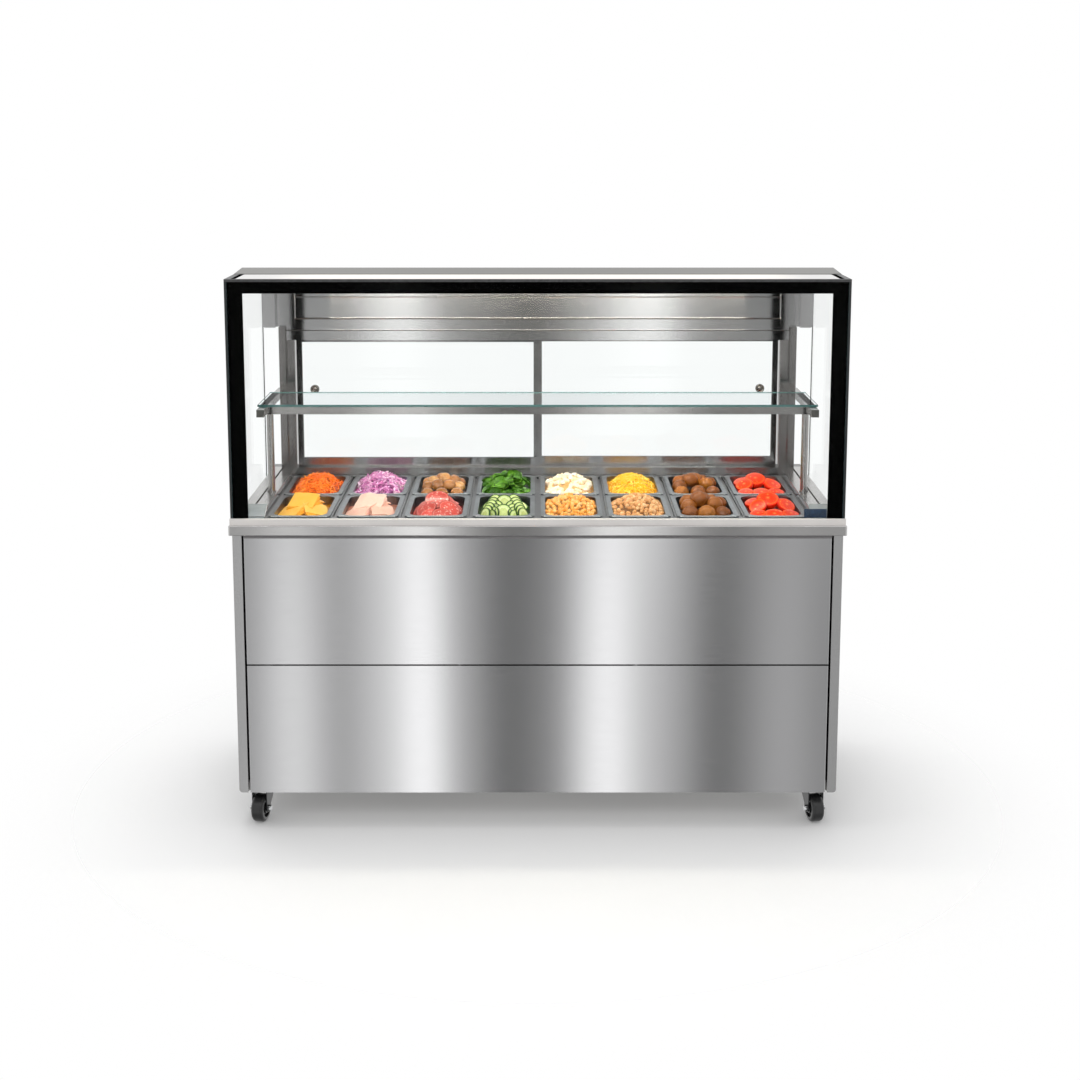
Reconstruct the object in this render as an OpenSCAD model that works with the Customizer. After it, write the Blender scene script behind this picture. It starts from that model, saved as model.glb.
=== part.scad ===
// Mobile refrigerated salad bar: stainless cabinet on four swivel casters, a cold
// well with sixteen lift-out pans, a cubic glass canopy with one inner glass shelf,
// and two sliding glass doors on the staff side.
// X runs to the customer's right, -Y faces the customer, Z is up, and the origin
// lies on the floor under the centre of the counter.

/* [Counter] */
// Width of the worktop rim
counter_w = 1610; // [1600:1:1680]
// Depth of the worktop, front to back
counter_d = 700; // [690:1:760]
// Height of the worktop deck above the floor
counter_z = 830; // [815:1:850]
// Height of the folded rim round the deck
rim_h = 26; // [20:1:34]
// Thickness of the folded steel sheet
sheet = 2; // [1.2:0.1:2.5]

/* [Cabinet] */
// Outer width over the two side panels
cabinet_w = 1592; // [1580:1:1600]
// Underside of the cabinet, which is also the caster height
base_z = 100; // [95:1:110]
// Thickness of a side panel
side_t = 24; // [20:1:30]
// How far the cabinet front lies behind the rim front
front_inset = 8; // [4:1:12]
// Shadow gap between a front panel and a side panel
panel_gap = 5; // [3:1:8]
// Height of the seam between the two front panels
seam_z = 453; // [420:1:480]
// Width of that seam
seam_gap = 4; // [2:1:6]
// Depth of the folded edges of a panel
panel_fold = 18; // [12:1:22]

/* [Pans] */
// Outside width of one pan rim
pan_w = 162; // [156:1:164]
// Outside length of one pan rim
pan_l = 265; // [255:1:268]
// Depth of a pan under its rim
pan_depth = 100; // [65:1:105]
// Height of the pan rims above the floor
pan_rim_z = 849; // [848:1:852]
// Distance from one column of pans to the next
pan_pitch = 178.5; // [177:0.5:179]
// Number of columns of pans
pan_columns = 8; // [8:1:8]
// Wall of a pan
pan_wall = 1.5; // [1:0.1:2]

/* [Canopy] */
// Width over the two side glasses
canopy_w = 1600; // [1590:1:1602]
// Height of the roof glass above the floor
canopy_top = 1470; // [1450:1:1480]
// Thickness of the canopy glass
glass_t = 6; // [5:1:8]
// How far the front glass lies behind the rim front
glass_inset = 12; // [10:1:14]
// Depth of the roof glass with its front trim
roof_glass_d = 158; // [150:1:170]
// Height of the crest of the roof cover
crest_z = 1478; // [1476:1:1484]

/* [Shelf] */
// Width of the shelf glass
shelf_w = 1518; // [1500:1:1520]
// Depth of the shelf glass
shelf_d = 230; // [200:1:240]
// Underside of the shelf glass above the floor
shelf_z = 1105; // [1090:1:1120]
// Side of a square shelf tube
shelf_tube = 20; // [18:1:22]
// Diameter of a shelf post
post_d = 19; // [16:1:20]

/* [Sliding doors] */
// Width of a door stile
stile_w = 16; // [15:1:22]
// Height of the bottom and top door rails
door_rail = 25; // [20:1:28]
// Thickness of a door frame
door_t = 10; // [8:1:10]
// Lower edge of the door header
header_z = 1245; // [1230:1:1255]
// Diameter of a door pull
pull_d = 25; // [22:1:28]

/* [Casters] */
// Wheel diameter
wheel_d = 76; // [70:1:76]
// Tread width
wheel_w = 34; // [28:1:36]
// How far the axle trails behind the swivel axis
trail = 28; // [24:1:30]
// Angle of a fork at rest, from straight ahead
caster_yaw = 12; // [0:1:20]

/* [Hidden] */
$fn = 48;
eps = 0.01;
fit = 0.05;                         // radial running clearance of pins and axles
weld = 0.02;                        // room left for the weld between two sheets
fold_r = 2;                         // outside radius of a folded edge
half_w = counter_w / 2;
front_y = -counter_d / 2;
rear_y = counter_d / 2;
rim_z = counter_z - rim_h;
deck_z = counter_z - sheet;            // underside of the deck, where the cabinet ends
cab_x = cabinet_w / 2;
inner_x = cab_x - side_t;           // inner face of a side panel
cab_front = front_y + front_inset;
cab_rear = rear_y - front_inset;

// The well and the pan rack
rack_z = pan_rim_z - 3;             // top of the rack that carries the pan rims
rim_t = pan_rim_z - rack_z;
rack_x = 711;
rack_front = front_y + 20;
pan_row_gap = 12;
pan_front = front_y + 31;
row_y = [pan_front + pan_l / 2, pan_front + pan_l * 1.5 + pan_row_gap];
pan_back = pan_front + 2 * pan_l + pan_row_gap;
rack_back = pan_back + 11;
body_w = pan_w - 21;                // pan body under the rim flange
body_l = pan_l - 21;
hole_w = body_w + 2;
hole_l = body_l + 2;
well_x = 700;
well_front = pan_front;
well_back = pan_back + 3;
well_floor = 724;

// The rear frame of the canopy
sill_front = rack_back;
frame_front = sill_front + 6;       // front face of the uprights
frame_back = frame_front + 50;
sill_top = counter_z + 40;
door_y = [frame_front + 16, frame_front + 33];
door_x = 701;
door_over = 12;
door_bottom = sill_top + 1;
door_top = header_z + 17;
pull_x = 650;
pull_z = 1098;
band_x = 726;
recess_x = 702;
bracket_z = 1281;
track_top = 1308;

// The canopy
canopy_x = canopy_w / 2;
glass_y = front_y + glass_inset;
glass_top = canopy_top - 6;
pane_x = canopy_x - glass_t;
trim_w = 15;
trim_top = canopy_top + 1;
roof_back = glass_y + roof_glass_d;
crest_y = roof_back + 127;
cover_back = frame_back + 4;
cover_back_z = 1441;
cover_drop = 14;
side_glass_back = frame_front + 10;

// The shelf
ledge_out = 775;
post_x = 727;
rail_y = front_y + 240;
tube_x = 744;
tube_front = rail_y - 50;

// The rear of the cabinet
mullion_x = 300;
mullion_w = 20;
rail_low = 130;
rail_high = 770;
pin_x = 10;
pin_y = cab_rear - 6;
pin_r = 4;
door_fold = 20;
tray_edge = base_z + 28;            // lower than the doors, whose corners swing over it
switch_x = mullion_x + mullion_w + 70;
switch_y = cab_rear - 8;
switch_z = 635;
switch_tilt = 8;
switch_pin = 2;

// The cooling machine
coil_x = 540;
coil_z = 310;
coil_w = 320;
coil_h = 300;
coil_y = 210;
coil_t = 50;
fan_r = 130;
fan_y = 168;
shaft_r = 5;
tube_r = 5;
tube_pitch = 60;

// The casters
caster_x = 742;
caster_y = 263;
plate_t = 3;
axle_z = wheel_d / 2;
axle_r = 5;
king_r = 6;
fork_in = wheel_w / 2 + 2;

PAN_NODES = ["pan_front_1", "pan_front_2", "pan_front_3", "pan_front_4",
    "pan_front_5", "pan_front_6", "pan_front_7", "pan_front_8",
    "pan_rear_1", "pan_rear_2", "pan_rear_3", "pan_rear_4",
    "pan_rear_5", "pan_rear_6", "pan_rear_7", "pan_rear_8"];
CASTERS = ["front_left", "front_right", "rear_left", "rear_right"];

// ---------------------------------------------------------------- helpers

// A box given by its lowest and highest corners
module block(low, high) {
    translate(low)
        cube(high - low);
}

// A flat rectangle with round corners, centred
module round_rect(w, d, r) {
    square([w - 2 * r, d], center = true);
    square([w, d - 2 * r], center = true);
    for (x = [-1, 1], y = [-1, 1])
        translate([x * (w / 2 - r), y * (d / 2 - r)])
            circle(r);
}

// A profile drawn in the X-Z plane and run along Y
module run_y(y0, y1) {
    translate([0, y1, 0])
        rotate([90, 0, 0])
            linear_extrude(y1 - y0)
                children();
}

// A profile drawn in the Y-Z plane and run along X, centred
module run_x(length) {
    rotate([90, 0, 90])
        translate([0, 0, -length / 2])
            linear_extrude(length)
                children();
}

// A rod between two heights
module rod(x, y, z0, z1, r) {
    translate([x, y, z0])
        cylinder(h = z1 - z0, r = r);
}

// A rod along Y
module rod_y(x, y0, y1, z, r) {
    translate([x, y0, z])
        rotate([-90, 0, 0])
            cylinder(h = y1 - y0, r = r);
}

// The same part on the left and on the right
module both_sides() {
    for (s = [0, 1])
        mirror([s, 0, 0])
            children();
}

function pan_x(i) = (i - (pan_columns - 1) / 2) * pan_pitch;
function bar_x(i) = (i - pan_columns / 2) * pan_pitch;

// ---------------------------------------------------------------- cabinet

// A folded sheet panel that faces -Y, open at the back
module front_panel(z0, z1) {
    x = inner_x - panel_gap;
    difference() {
        translate([0, cab_front + panel_fold / 2, z0])
            linear_extrude(z1 - z0)
                round_rect(2 * x, panel_fold, fold_r);
        block([-x + sheet, cab_front + sheet, z0 + sheet],
              [x - sheet, cab_front + panel_fold + eps, z1 - sheet]);
    }
}

module front_panel_upper() {
    color("silver")
        front_panel(seam_z + seam_gap / 2, deck_z);
}

module front_panel_lower() {
    color("silver")
        front_panel(base_z, seam_z - seam_gap / 2);
}

// One side panel: a folded shell with a rounded lower edge
module side_shell() {
    r = 9;
    difference() {
        run_y(cab_front, cab_rear)
            union() {
                translate([inner_x, base_z])
                    square([side_t - r, deck_z - base_z]);
                translate([inner_x, base_z + r])
                    square([side_t, deck_z - base_z - r]);
                translate([cab_x - r, base_z + r])
                    circle(r);
            }
        block([inner_x - eps, cab_front + sheet, base_z + side_t],
              [cab_x - sheet, cab_rear - sheet, deck_z - sheet]);
    }
}

module side_panel_right() {
    color("silver")
        side_shell();
}

module side_panel_left() {
    color("silver")
        mirror([1, 0, 0])
            side_shell();
}

// The floor of the cabinet, a tray with upturned edges
module base_tray() {
    y0 = cab_front + panel_fold;
    y1 = cab_rear - door_fold;
    color("darkgray")
        difference() {
            block([-inner_x, y0, base_z], [inner_x, y1, tray_edge]);
            block([-inner_x + sheet, y0 + sheet, base_z + sheet],
                  [inner_x - sheet, y1 - sheet, tray_edge + eps]);
        }
}

// Rails and mullion of the staff side, with the wall of the machine compartment
module rear_frame() {
    y0 = cab_rear - door_fold;
    wall = [mullion_x + 9, mullion_x + 9 + sheet];
    wall_top = 690;
    color("silver")
        difference() {
            union() {
                block([-inner_x, y0, base_z], [inner_x, cab_rear, rail_low]);
                block([-inner_x, y0, rail_high], [inner_x, cab_rear, deck_z]);
                block([mullion_x, y0, rail_low - eps],
                      [mullion_x + mullion_w, cab_rear, rail_high + eps]);
                block([wall[0], cab_front + panel_fold, tray_edge],
                      [wall[1], y0 + eps, wall_top]);
                block([wall[0], cab_front + panel_fold + sheet, base_z + sheet],
                      [wall[1], y0 - sheet, tray_edge + eps]);
            }
            for (x = [-inner_x + pin_x, mullion_x - pin_x])
                rod(x, pin_y, rail_low - 12, rail_high + 12, pin_r + fit);
        }
}

// Louvred service panel of the machine compartment, with its control field
module machine_panel() {
    x0 = mullion_x + mullion_w;
    x1 = inner_x;
    y0 = cab_rear - panel_fold;
    slot_x = [coil_x - 150, coil_x + 150];
    slot_pitch = 26;
    slots = 11;
    slot_h = 12;
    low = 175;
    color("silver") {
        difference() {
            block([x0, y0, rail_low], [x1, cab_rear, rail_high]);
            block([x0 + sheet, y0 - eps, rail_low + sheet],
                  [x1 - sheet, cab_rear - sheet, rail_high - sheet]);
            for (i = [0 : slots - 1])
                block([slot_x[0], y0, low + i * slot_pitch],
                      [slot_x[1], cab_rear + eps, low + i * slot_pitch + slot_h]);
            block([switch_x - 12.5, y0, switch_z - 17],
                  [switch_x + 12.5, cab_rear + eps, switch_z + 17]);
        }
        switch_housing();
        for (i = [0 : slots - 1])
            louvre(slot_x[0], slot_x[1], low + i * slot_pitch + slot_h);
        thermostat(x0 + 160, 600);
    }
}

// One blade that hangs from the upper edge of its slot and leans inwards
module louvre(x0, x1, z) {
    translate([(x0 + x1) / 2, 0, 0])
        run_x(x1 - x0)
            polygon([[cab_rear - sheet, z], [cab_rear, z],
                     [cab_rear - 10, z - 14], [cab_rear - 12, z - 14]]);
}

// Digital thermostat: a bezel with a window
module thermostat(x, z) {
    w = 78;
    h = 36;
    difference() {
        block([x, cab_rear, z], [x + w, cab_rear + 4, z + h]);
        block([x + 8, cab_rear + 2.5, z + 6], [x + 50, cab_rear + 4 + eps, z + h - 6]);
    }
}

// Power switch, drawn switched off, that rocks on its pin along X
module rocker_switch() {
    r = 12;
    width = 19;
    color("black")
        translate([switch_x, switch_y, switch_z])
            rotate([-switch_tilt, 0, 0])
                rotate([0, 90, 0]) {
                    linear_extrude(width, center = true)
                        intersection() {
                            circle(r);
                            translate([-10, 0])
                                square([20, 20]);
                        }
                    cylinder(h = width + 5, r = switch_pin, center = true);
                }
}

// Housing of the switch: a bezel with two cheeks that hold the pin
module switch_housing() {
    w = 12.5;
    h = 17;
    difference() {
        block([switch_x - w, switch_y - 8, switch_z - h],
              [switch_x + w, cab_rear + 1.5, switch_z + h]);
        block([switch_x - w + 2.5, switch_y - 9, switch_z - h + 2.5],
              [switch_x + w - 2.5, cab_rear + 2, switch_z + h - 2.5]);
        translate([switch_x, switch_y, switch_z])
            rotate([0, 90, 0])
                cylinder(h = 2 * w + 1, r = switch_pin + fit, center = true);
    }
}

// One hinged cupboard door, drawn for the left side with its pin at the origin
module cupboard_door(width) {
    z0 = rail_low + 2;
    z1 = rail_high - 2;
    edge = 6;
    pull_w = 24;
    pull_h = 160;
    mid = (z0 + z1) / 2 + 120;
    grip = width - edge - 45;
    y1 = cab_rear - pin_y;
    y0 = y1 - door_fold;
    color("silver") {
        difference() {
            union() {
                difference() {
                    block([-edge, y0, z0], [width - edge, y1, z1]);
                    block([-edge + sheet + 8, y0 - eps, z0 + sheet],
                          [width - edge - sheet, y1 - sheet, z1 - sheet]);
                }
                block([grip - 4, y0 + 2, mid - pull_h / 2 - 4],
                      [grip + pull_w + 4, y1 - sheet + eps, mid + pull_h / 2 + 4]);
            }
            block([grip, y0 + 4, mid - pull_h / 2],
                  [grip + pull_w, y1 + eps, mid + pull_h / 2]);
        }
        rod(0, 0, z0 - 12, z0 + eps, pin_r);
        rod(0, 0, z1 - eps, z1 + 12, pin_r);
    }
}

leaf_w = (mullion_x + inner_x - 2 * (pin_x - 6) - 3) / 2;

module cupboard_door_left() {
    translate([-inner_x + pin_x, pin_y, 0])
        cupboard_door(leaf_w);
}

module cupboard_door_right() {
    translate([mullion_x - pin_x, pin_y, 0])
        mirror([1, 0, 0])
            cupboard_door(leaf_w);
}

// ---------------------------------------------------------------- counter

// Deck round the cut-out of the well: four folded strips, mitred at the corners
module worktop() {
    x = half_w + 1;
    y = rear_y + 1;
    w = well_x;
    f = well_front;
    b = well_back;
    m = 3 * weld;
    color("silver") {
        deck_strip([[m - x, -y], [x - m, -y], [w - m, f], [m - w, f]]);
        deck_strip([[m - w, b], [w - m, b], [x - m, y], [m - x, y]]);
        deck_strip([[-x, -y], [-w, f], [-w, b], [-x, y]]);
        deck_strip([[x, -y], [x, y], [w, b], [w, f]]);
    }
}

// The part of the folded deck that lies over a plan
module deck_strip(plan) {
    intersection() {
        deck_shell();
        translate([0, 0, rim_z - 1])
            linear_extrude(rim_h + 2)
                polygon(plan);
    }
}

// The whole deck with its rim, folded to a small radius on every edge
module deck_shell() {
    difference() {
        intersection() {
            translate([0, 0, rim_z])
                linear_extrude(rim_h)
                    round_rect(counter_w, counter_d, 5);
            run_x(counter_w)
                translate([0, rim_z + rim_h / 2])
                    round_rect(counter_d, rim_h, fold_r);
            run_y(front_y, rear_y)
                translate([0, rim_z + rim_h / 2])
                    round_rect(counter_w, rim_h, fold_r);
        }
        translate([0, 0, rim_z - eps])
            linear_extrude(rim_h - sheet + eps)
                round_rect(counter_w - 2 * sheet, counter_d - 2 * sheet, 3);
    }
}

// Pale channel along the front that holds the foot of the front glass
module glass_ledge() {
    x = canopy_x + 1.5;
    y0 = front_y + 5;
    foot = counter_z + 6;
    top = counter_z + 18;
    color("gainsboro")
        run_x(2 * x)
            polygon([[y0, counter_z], [rack_front, counter_z], [rack_front, top - 8],
                     [glass_y + glass_t, top - 8], [glass_y + glass_t, foot],
                     [glass_y, foot], [glass_y, top], [y0 + 1, top], [y0, top - 1]]);
}

// The cold well under the deck, welded from a floor, four walls and a drain with its cock
module well_liner() {
    z = well_floor;
    drain = [-300, -20];
    neck = 18;
    color("lightgray") {
        difference() {
            block([weld - well_x, well_front + weld, z - sheet],
                  [well_x - weld, well_back - weld, z]);
            rod(drain.x, drain.y, z - 2 * sheet, z + sheet, neck + weld);
        }
        for (y = [well_front - sheet, well_back])
            block([-well_x, y, z - sheet], [well_x, y + sheet, deck_z]);
        both_sides()
            block([well_x + weld, well_front - sheet, z - sheet],
                  [well_x + sheet, well_back + sheet, deck_z]);
        well_drain(drain.x, drain.y, neck);
    }
}

// Drain neck with a level flange, and the lever cock on its side
module well_drain(x, y, neck) {
    foot = well_floor - 90;
    cock_z = foot + 30;
    difference() {
        union() {
            rod(x, y, foot, well_floor, neck);
            rod_y(x, y, y + 34, cock_z, 10);
            block([x - 5, y + 34 - eps, cock_z - 5], [x + 5, y + 38, cock_z + 45]);
        }
        rod(x, y, foot - eps, well_floor + eps, 15);
    }
}

// Welded rack that carries the rims of the pans: rails round it and bars between
module pan_rack() {
    side = pan_x(7) + hole_w / 2;
    y0 = row_y[0] - hole_l / 2;
    y1 = row_y[0] + hole_l / 2;
    y2 = row_y[1] - hole_l / 2;
    y3 = row_y[1] + hole_l / 2;
    color("gray") {
        block([-rack_x, rack_front, counter_z], [rack_x, y0 - weld, rack_z]);
        block([-rack_x, y3 + weld, counter_z], [rack_x, rack_back, rack_z]);
        both_sides()
            block([side + weld, y0, counter_z], [rack_x, y3, rack_z]);
        for (i = [1 : pan_columns - 1])
            translate([bar_x(i), 0, 0])
                column_bar(y0, y3);
        for (i = [0 : pan_columns - 1])
            translate([pan_x(i), 0, 0])
                row_bar(y1, y2);
    }
}

// Folded bar between two columns, with a drip groove along its top
module column_bar(y0, y1) {
    groove = 6;
    deep = 5;
    half = (pan_pitch - hole_w) / 2;
    skin = rack_z - deep - sheet;
    run_y(y0, y1)
        polygon([[-half, counter_z], [-half, rack_z], [-groove / 2, rack_z],
                 [-groove / 2, rack_z - deep], [groove / 2, rack_z - deep],
                 [groove / 2, rack_z], [half, rack_z], [half, counter_z],
                 [half - sheet, counter_z], [half - sheet, skin],
                 [sheet - half, skin], [sheet - half, counter_z]]);
}

// Short folded bar between the two rows
module row_bar(y0, y1) {
    run_x(hole_w - 2 * weld)
        polygon([[y0, counter_z], [y0, rack_z], [y1, rack_z], [y1, counter_z],
                 [y1 - sheet, counter_z], [y1 - sheet, rack_z - sheet],
                 [y0 + sheet, rack_z - sheet], [y0 + sheet, counter_z]]);
}

// One pan: rolled rim, straight collar, stacking shoulder and rounded floor
module pan(x, y) {
    step_z = 28;
    floor_r = 8;
    translate([x, y, rack_z])
        difference() {
            union() {
                linear_extrude(rim_t)
                    round_rect(pan_w, pan_l, 14);
                pan_body(0);
            }
            translate([0, 0, rim_t])
                pan_body(pan_wall);
            translate([0, 0, 0])
                linear_extrude(rim_t + eps)
                    round_rect(body_w - 2 * pan_wall, body_l - 2 * pan_wall, 28.5);
        }
}

// The outside of a pan under its rim, made smaller by its wall for the inside
module pan_body(wall) {
    step_z = 28;
    floor_z = 8;
    depth = pan_depth - (wall > 0 ? rim_t - wall : rim_t);
    for (s = [[0, 0, step_z], [4, step_z - eps, depth - floor_z],
              [7, depth - floor_z - eps, depth - 3], [12, depth - 3 - eps, depth]])
        translate([0, 0, -s[2]])
            linear_extrude(s[2] - s[1])
                round_rect(body_w - 2 * s[0] - 2 * wall, body_l - 2 * s[0] - 2 * wall,
                           30 - wall);
}

// The raised ledges left and right of the pans, with their glass bead. The front end
// is closed and slopes down to the foot of the front glass
module side_ledge() {
    difference() {
        ledge_slope(0)
            run_y(rack_front, sill_front) {
                polygon([[rack_x, counter_z], [rack_x, sill_top], [742, sill_top],
                         [742, sill_top - 3], [745, sill_top - 3], [745, sill_top + 3],
                         [769, sill_top + 3], [ledge_out, sill_top - 3],
                         [ledge_out, counter_z]]);
                translate([769, sill_top - 3])
                    circle(6);
            }
        ledge_slope(4)
            run_y(rack_front + 2, sill_front + eps)
                polygon([[rack_x + sheet, counter_z - eps], [rack_x + sheet, sill_top - 5],
                         [ledge_out - 5, sill_top - 5], [ledge_out - 2, sill_top - 8],
                         [ledge_out - 2, counter_z - eps]]);
    }
}

// Cuts a ledge off along its front slope, lowered by a wall
module ledge_slope(wall) {
    nose = 45;
    low = counter_z + 20 - wall;
    high = sill_top + 4 - wall;
    difference() {
        children();
        run_x(2 * ledge_out + 2)
            polygon([[rack_front - 1, low], [rack_front + nose, high],
                     [rack_front + nose, high + 20], [rack_front - 1, high + 20]]);
    }
}

module side_ledges() {
    color("silver")
        both_sides()
            side_ledge();
}

// Upstand behind the pans with the two lower door tracks
module rear_sill() {
    groove = 5;
    color("silver")
        difference() {
            block([-ledge_out, sill_front, counter_z], [ledge_out, frame_back, sill_top]);
            block([-ledge_out - eps, sill_front + sheet, counter_z - eps],
                  [ledge_out + eps, frame_back - sheet, sill_top - 10]);
            for (y = door_y)
                block([-door_x - 2, y + door_t / 2 - groove / 2, sill_top - 6],
                      [door_x + 2, y + door_t / 2 + groove / 2, sill_top + eps]);
        }
}

// ---------------------------------------------------------------- canopy

// Folded uprights of the rear frame
module upright() {
    recess = 22;
    inner = [704, 725];
    outer = [731, 750];
    difference() {
        union() {
            block([inner[0], frame_front, sill_top], [inner[1], frame_back, header_z]);
            block([inner[1] - eps, frame_front + recess, sill_top],
                  [band_x + 1, frame_back, header_z]);
            block([band_x + 1 - eps, frame_front + recess, sill_top],
                  [outer[0], frame_back, bracket_z]);
            block([outer[0] - eps, frame_front + 4, sill_top],
                  [outer[1], frame_back, bracket_z]);
        }
        block([inner[0] + sheet, frame_front + sheet, sill_top - eps],
              [inner[1] - sheet, frame_back - sheet, header_z - sheet]);
        block([outer[0] + sheet, frame_front + 4 + sheet, sill_top - eps],
              [outer[1] - sheet, frame_back - sheet, bracket_z - sheet]);
    }
}

module uprights() {
    color("gray")
        both_sides()
            upright();
}

// Header over the doors: recessed fascia, upper tracks and the end brackets
module header_box() {
    face_y = frame_front + 12;
    roof_z = cover_underside(frame_back);
    groove = door_t + 2;
    groove_top = door_top + 3;
    ceiling = groove_top + sheet;
    color("silver") {
        difference() {
            union() {
                block([-recess_x, face_y, track_top - eps], [recess_x, frame_back, roof_z]);
                run_x(2 * recess_x)
                    translate([face_y + 0.5, 1368])
                        circle(2);
                run_x(2 * band_x)
                    polygon([[frame_front - 4, header_z], [frame_back, header_z],
                             [frame_back, track_top], [frame_front + 3, track_top],
                             [frame_front, track_top - 3],
                             [frame_front, 1278], [frame_front + 4, 1278],
                             [frame_front + 4, 1274], [frame_front - 2, 1274],
                             [frame_front - 4, 1272]]);
            }
            block([-recess_x + sheet, frame_front + 12 + sheet, track_top + sheet],
                  [recess_x - sheet, frame_back - sheet, roof_z - sheet]);
            block([-band_x - eps, frame_front + 6, ceiling],
                  [band_x + eps, frame_back - sheet, track_top - sheet]);
            for (y = door_y)
                block([-door_x - 2, y - 1, header_z - eps],
                      [door_x + 2, y - 1 + groove, groove_top]);
        }
        both_sides()
            header_bracket(roof_z);
    }
}

// Bracket that ties the header to the side glass, open to the front
module header_bracket(top) {
    web = frame_front + 22;
    tie_x = 758;
    r = 8;
    run_y(frame_front - 4, web) {
        translate([tie_x, bracket_z + r])
            square([pane_x - tie_x, top - bracket_z - r]);
        translate([tie_x, bracket_z])
            square([pane_x - tie_x - r, top - bracket_z]);
        translate([pane_x - r, bracket_z + r])
            circle(r);
    }
    block([recess_x - eps, frame_front - 2, 1290], [band_x, frame_front + eps, track_top]);
    block([recess_x - eps, frame_front - 2, track_top - eps], [band_x, web, top]);
    block([recess_x - eps, web - eps, track_top - eps], [pane_x, web + sheet, top]);
    block([band_x + 1, web - eps, bracket_z + fit], [pane_x - r, web + sheet, track_top]);
}

// Front pane, standing in the ledge
module front_glass() {
    color("lightblue", 0.4)
        block([-pane_x, glass_y, counter_z + 6], [pane_x, glass_y + glass_t, glass_top]);
}

// Side panes, cut to the slope of the roof cover
module side_glasses() {
    color("lightblue", 0.4)
        both_sides()
            translate([pane_x + glass_t / 2, 0, 0])
                run_x(glass_t)
                    polygon([[glass_y, counter_z + 18], [glass_y, glass_top],
                             [crest_y, glass_top],
                             [side_glass_back, cover_underside(side_glass_back)],
                             [side_glass_back, counter_z], [rack_front, counter_z],
                             [rack_front, counter_z + 18]]);
}

function cover_underside(y) = glass_top
    - (glass_top - cover_back_z + cover_drop) * (y - crest_y) / (cover_back - crest_y);

// Roof pane between the trims
module roof_glass() {
    color("white", 0.5)
        block([-canopy_x + trim_w, glass_y + 12, glass_top],
              [canopy_x - trim_w, roof_back, canopy_top]);
}

// Trim round the roof pane: grey along the front, dark along both sides
module roof_trim() {
    color("dimgray") {
        block([-canopy_x, glass_y, glass_top], [canopy_x, glass_y + 12, trim_top]);
        both_sides()
            block([canopy_x - trim_w, glass_y + 12 - eps, glass_top],
                  [canopy_x, roof_back, trim_top]);
    }
}

// Folded hood behind the roof pane, rising to a crest and falling to the rear
module roof_cover() {
    color("silver")
        difference() {
            run_x(canopy_w)
                cover_profile(0);
            run_x(canopy_w - 16)
                cover_profile(sheet);
        }
}

module cover_profile(t) {
    low = t > 0 ? cover_drop : 0;
    polygon([[roof_back + t, glass_top - low], [crest_y, glass_top - low],
             [cover_back - t, cover_back_z - cover_drop - low],
             [cover_back - t, cover_back_z - t], [crest_y, crest_z - t],
             [roof_back + t, trim_top + 1 - t]]);
}

// Light bar under the front edge of the hood
module led_bar() {
    y0 = roof_back + sheet;
    color("white")
        block([-650, y0, glass_top - 18], [650, y0 + 30, glass_top + 2]);
}

// ---------------------------------------------------------------- shelf

module shelf_glass() {
    color("lightblue", 0.4)
        block([-shelf_w / 2, rail_y, shelf_z], [shelf_w / 2, rail_y + shelf_d, shelf_z + 6]);
}

// Front rail, side tubes and posts, welded together
module shelf_frame() {
    z0 = shelf_z - shelf_tube;
    wall = 1.5;
    h = shelf_tube / 2;
    color("silver") {
        difference() {
            union() {
                block([-tube_x + h, rail_y, z0], [tube_x - h, rail_y + shelf_tube, shelf_z]);
                both_sides()
                    block([tube_x - h, tube_front, z0],
                          [tube_x + h, frame_front + 4, shelf_z]);
            }
            both_sides()
                block([tube_x - h + wall, tube_front - eps, z0 + wall],
                      [tube_x + h - wall, frame_front + 2, shelf_z - wall]);
            block([-tube_x + h + 1, rail_y + wall, z0 + wall],
                  [tube_x - h - 1, rail_y + shelf_tube - wall, shelf_z - wall]);
        }
        both_sides() {
            rod(post_x, rail_y + h, sill_top, z0 + eps, post_d / 2);
            rod(post_x, rail_y + h, sill_top, sill_top + 4, post_d / 2 + 2.5);
        }
    }
}

// Dark square plugs in the front ends of the side tubes
module tube_end_caps() {
    h = shelf_tube / 2;
    z = shelf_z - h;
    color("dimgray")
        both_sides() {
            block([tube_x - h, tube_front - 2, z - h], [tube_x + h, tube_front, z + h]);
            block([tube_x - h + 1.5, tube_front - eps, z - h + 1.5],
                  [tube_x + h - 1.5, tube_front + 12, z + h - 1.5]);
        }
}

// ---------------------------------------------------------------- sliding doors

// A door that spans x0..x1 in the track that starts at y
module sliding_frame(x0, x1, y, handle_x) {
    runner = 4;
    mid = y + door_t / 2;
    color("silver") {
        difference() {
            block([x0, y, door_bottom], [x1, y + door_t, door_top]);
            block([x0 + stile_w, y - eps, door_bottom + door_rail],
                  [x1 - stile_w, y + door_t + eps, door_top - door_rail]);
        }
        block([x0 + 10, mid - runner / 2, sill_top - 5],
              [x1 - 10, mid + runner / 2, door_bottom + eps]);
        door_pull(handle_x, mid);
    }
}

// Flush cup pull, clamped in a hole of the door glass
module door_pull(x, y) {
    r = pull_d / 2;
    difference() {
        union() {
            rod_y(x, y - 4, y - 2, pull_z, r);
            rod_y(x, y + 2, y + 4, pull_z, r);
            rod_y(x, y - 2 - eps, y + 2 + eps, pull_z, r - 2.5);
        }
        rod_y(x, y - 0.5, y + 4 + eps, pull_z, r - 4);
    }
}

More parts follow.
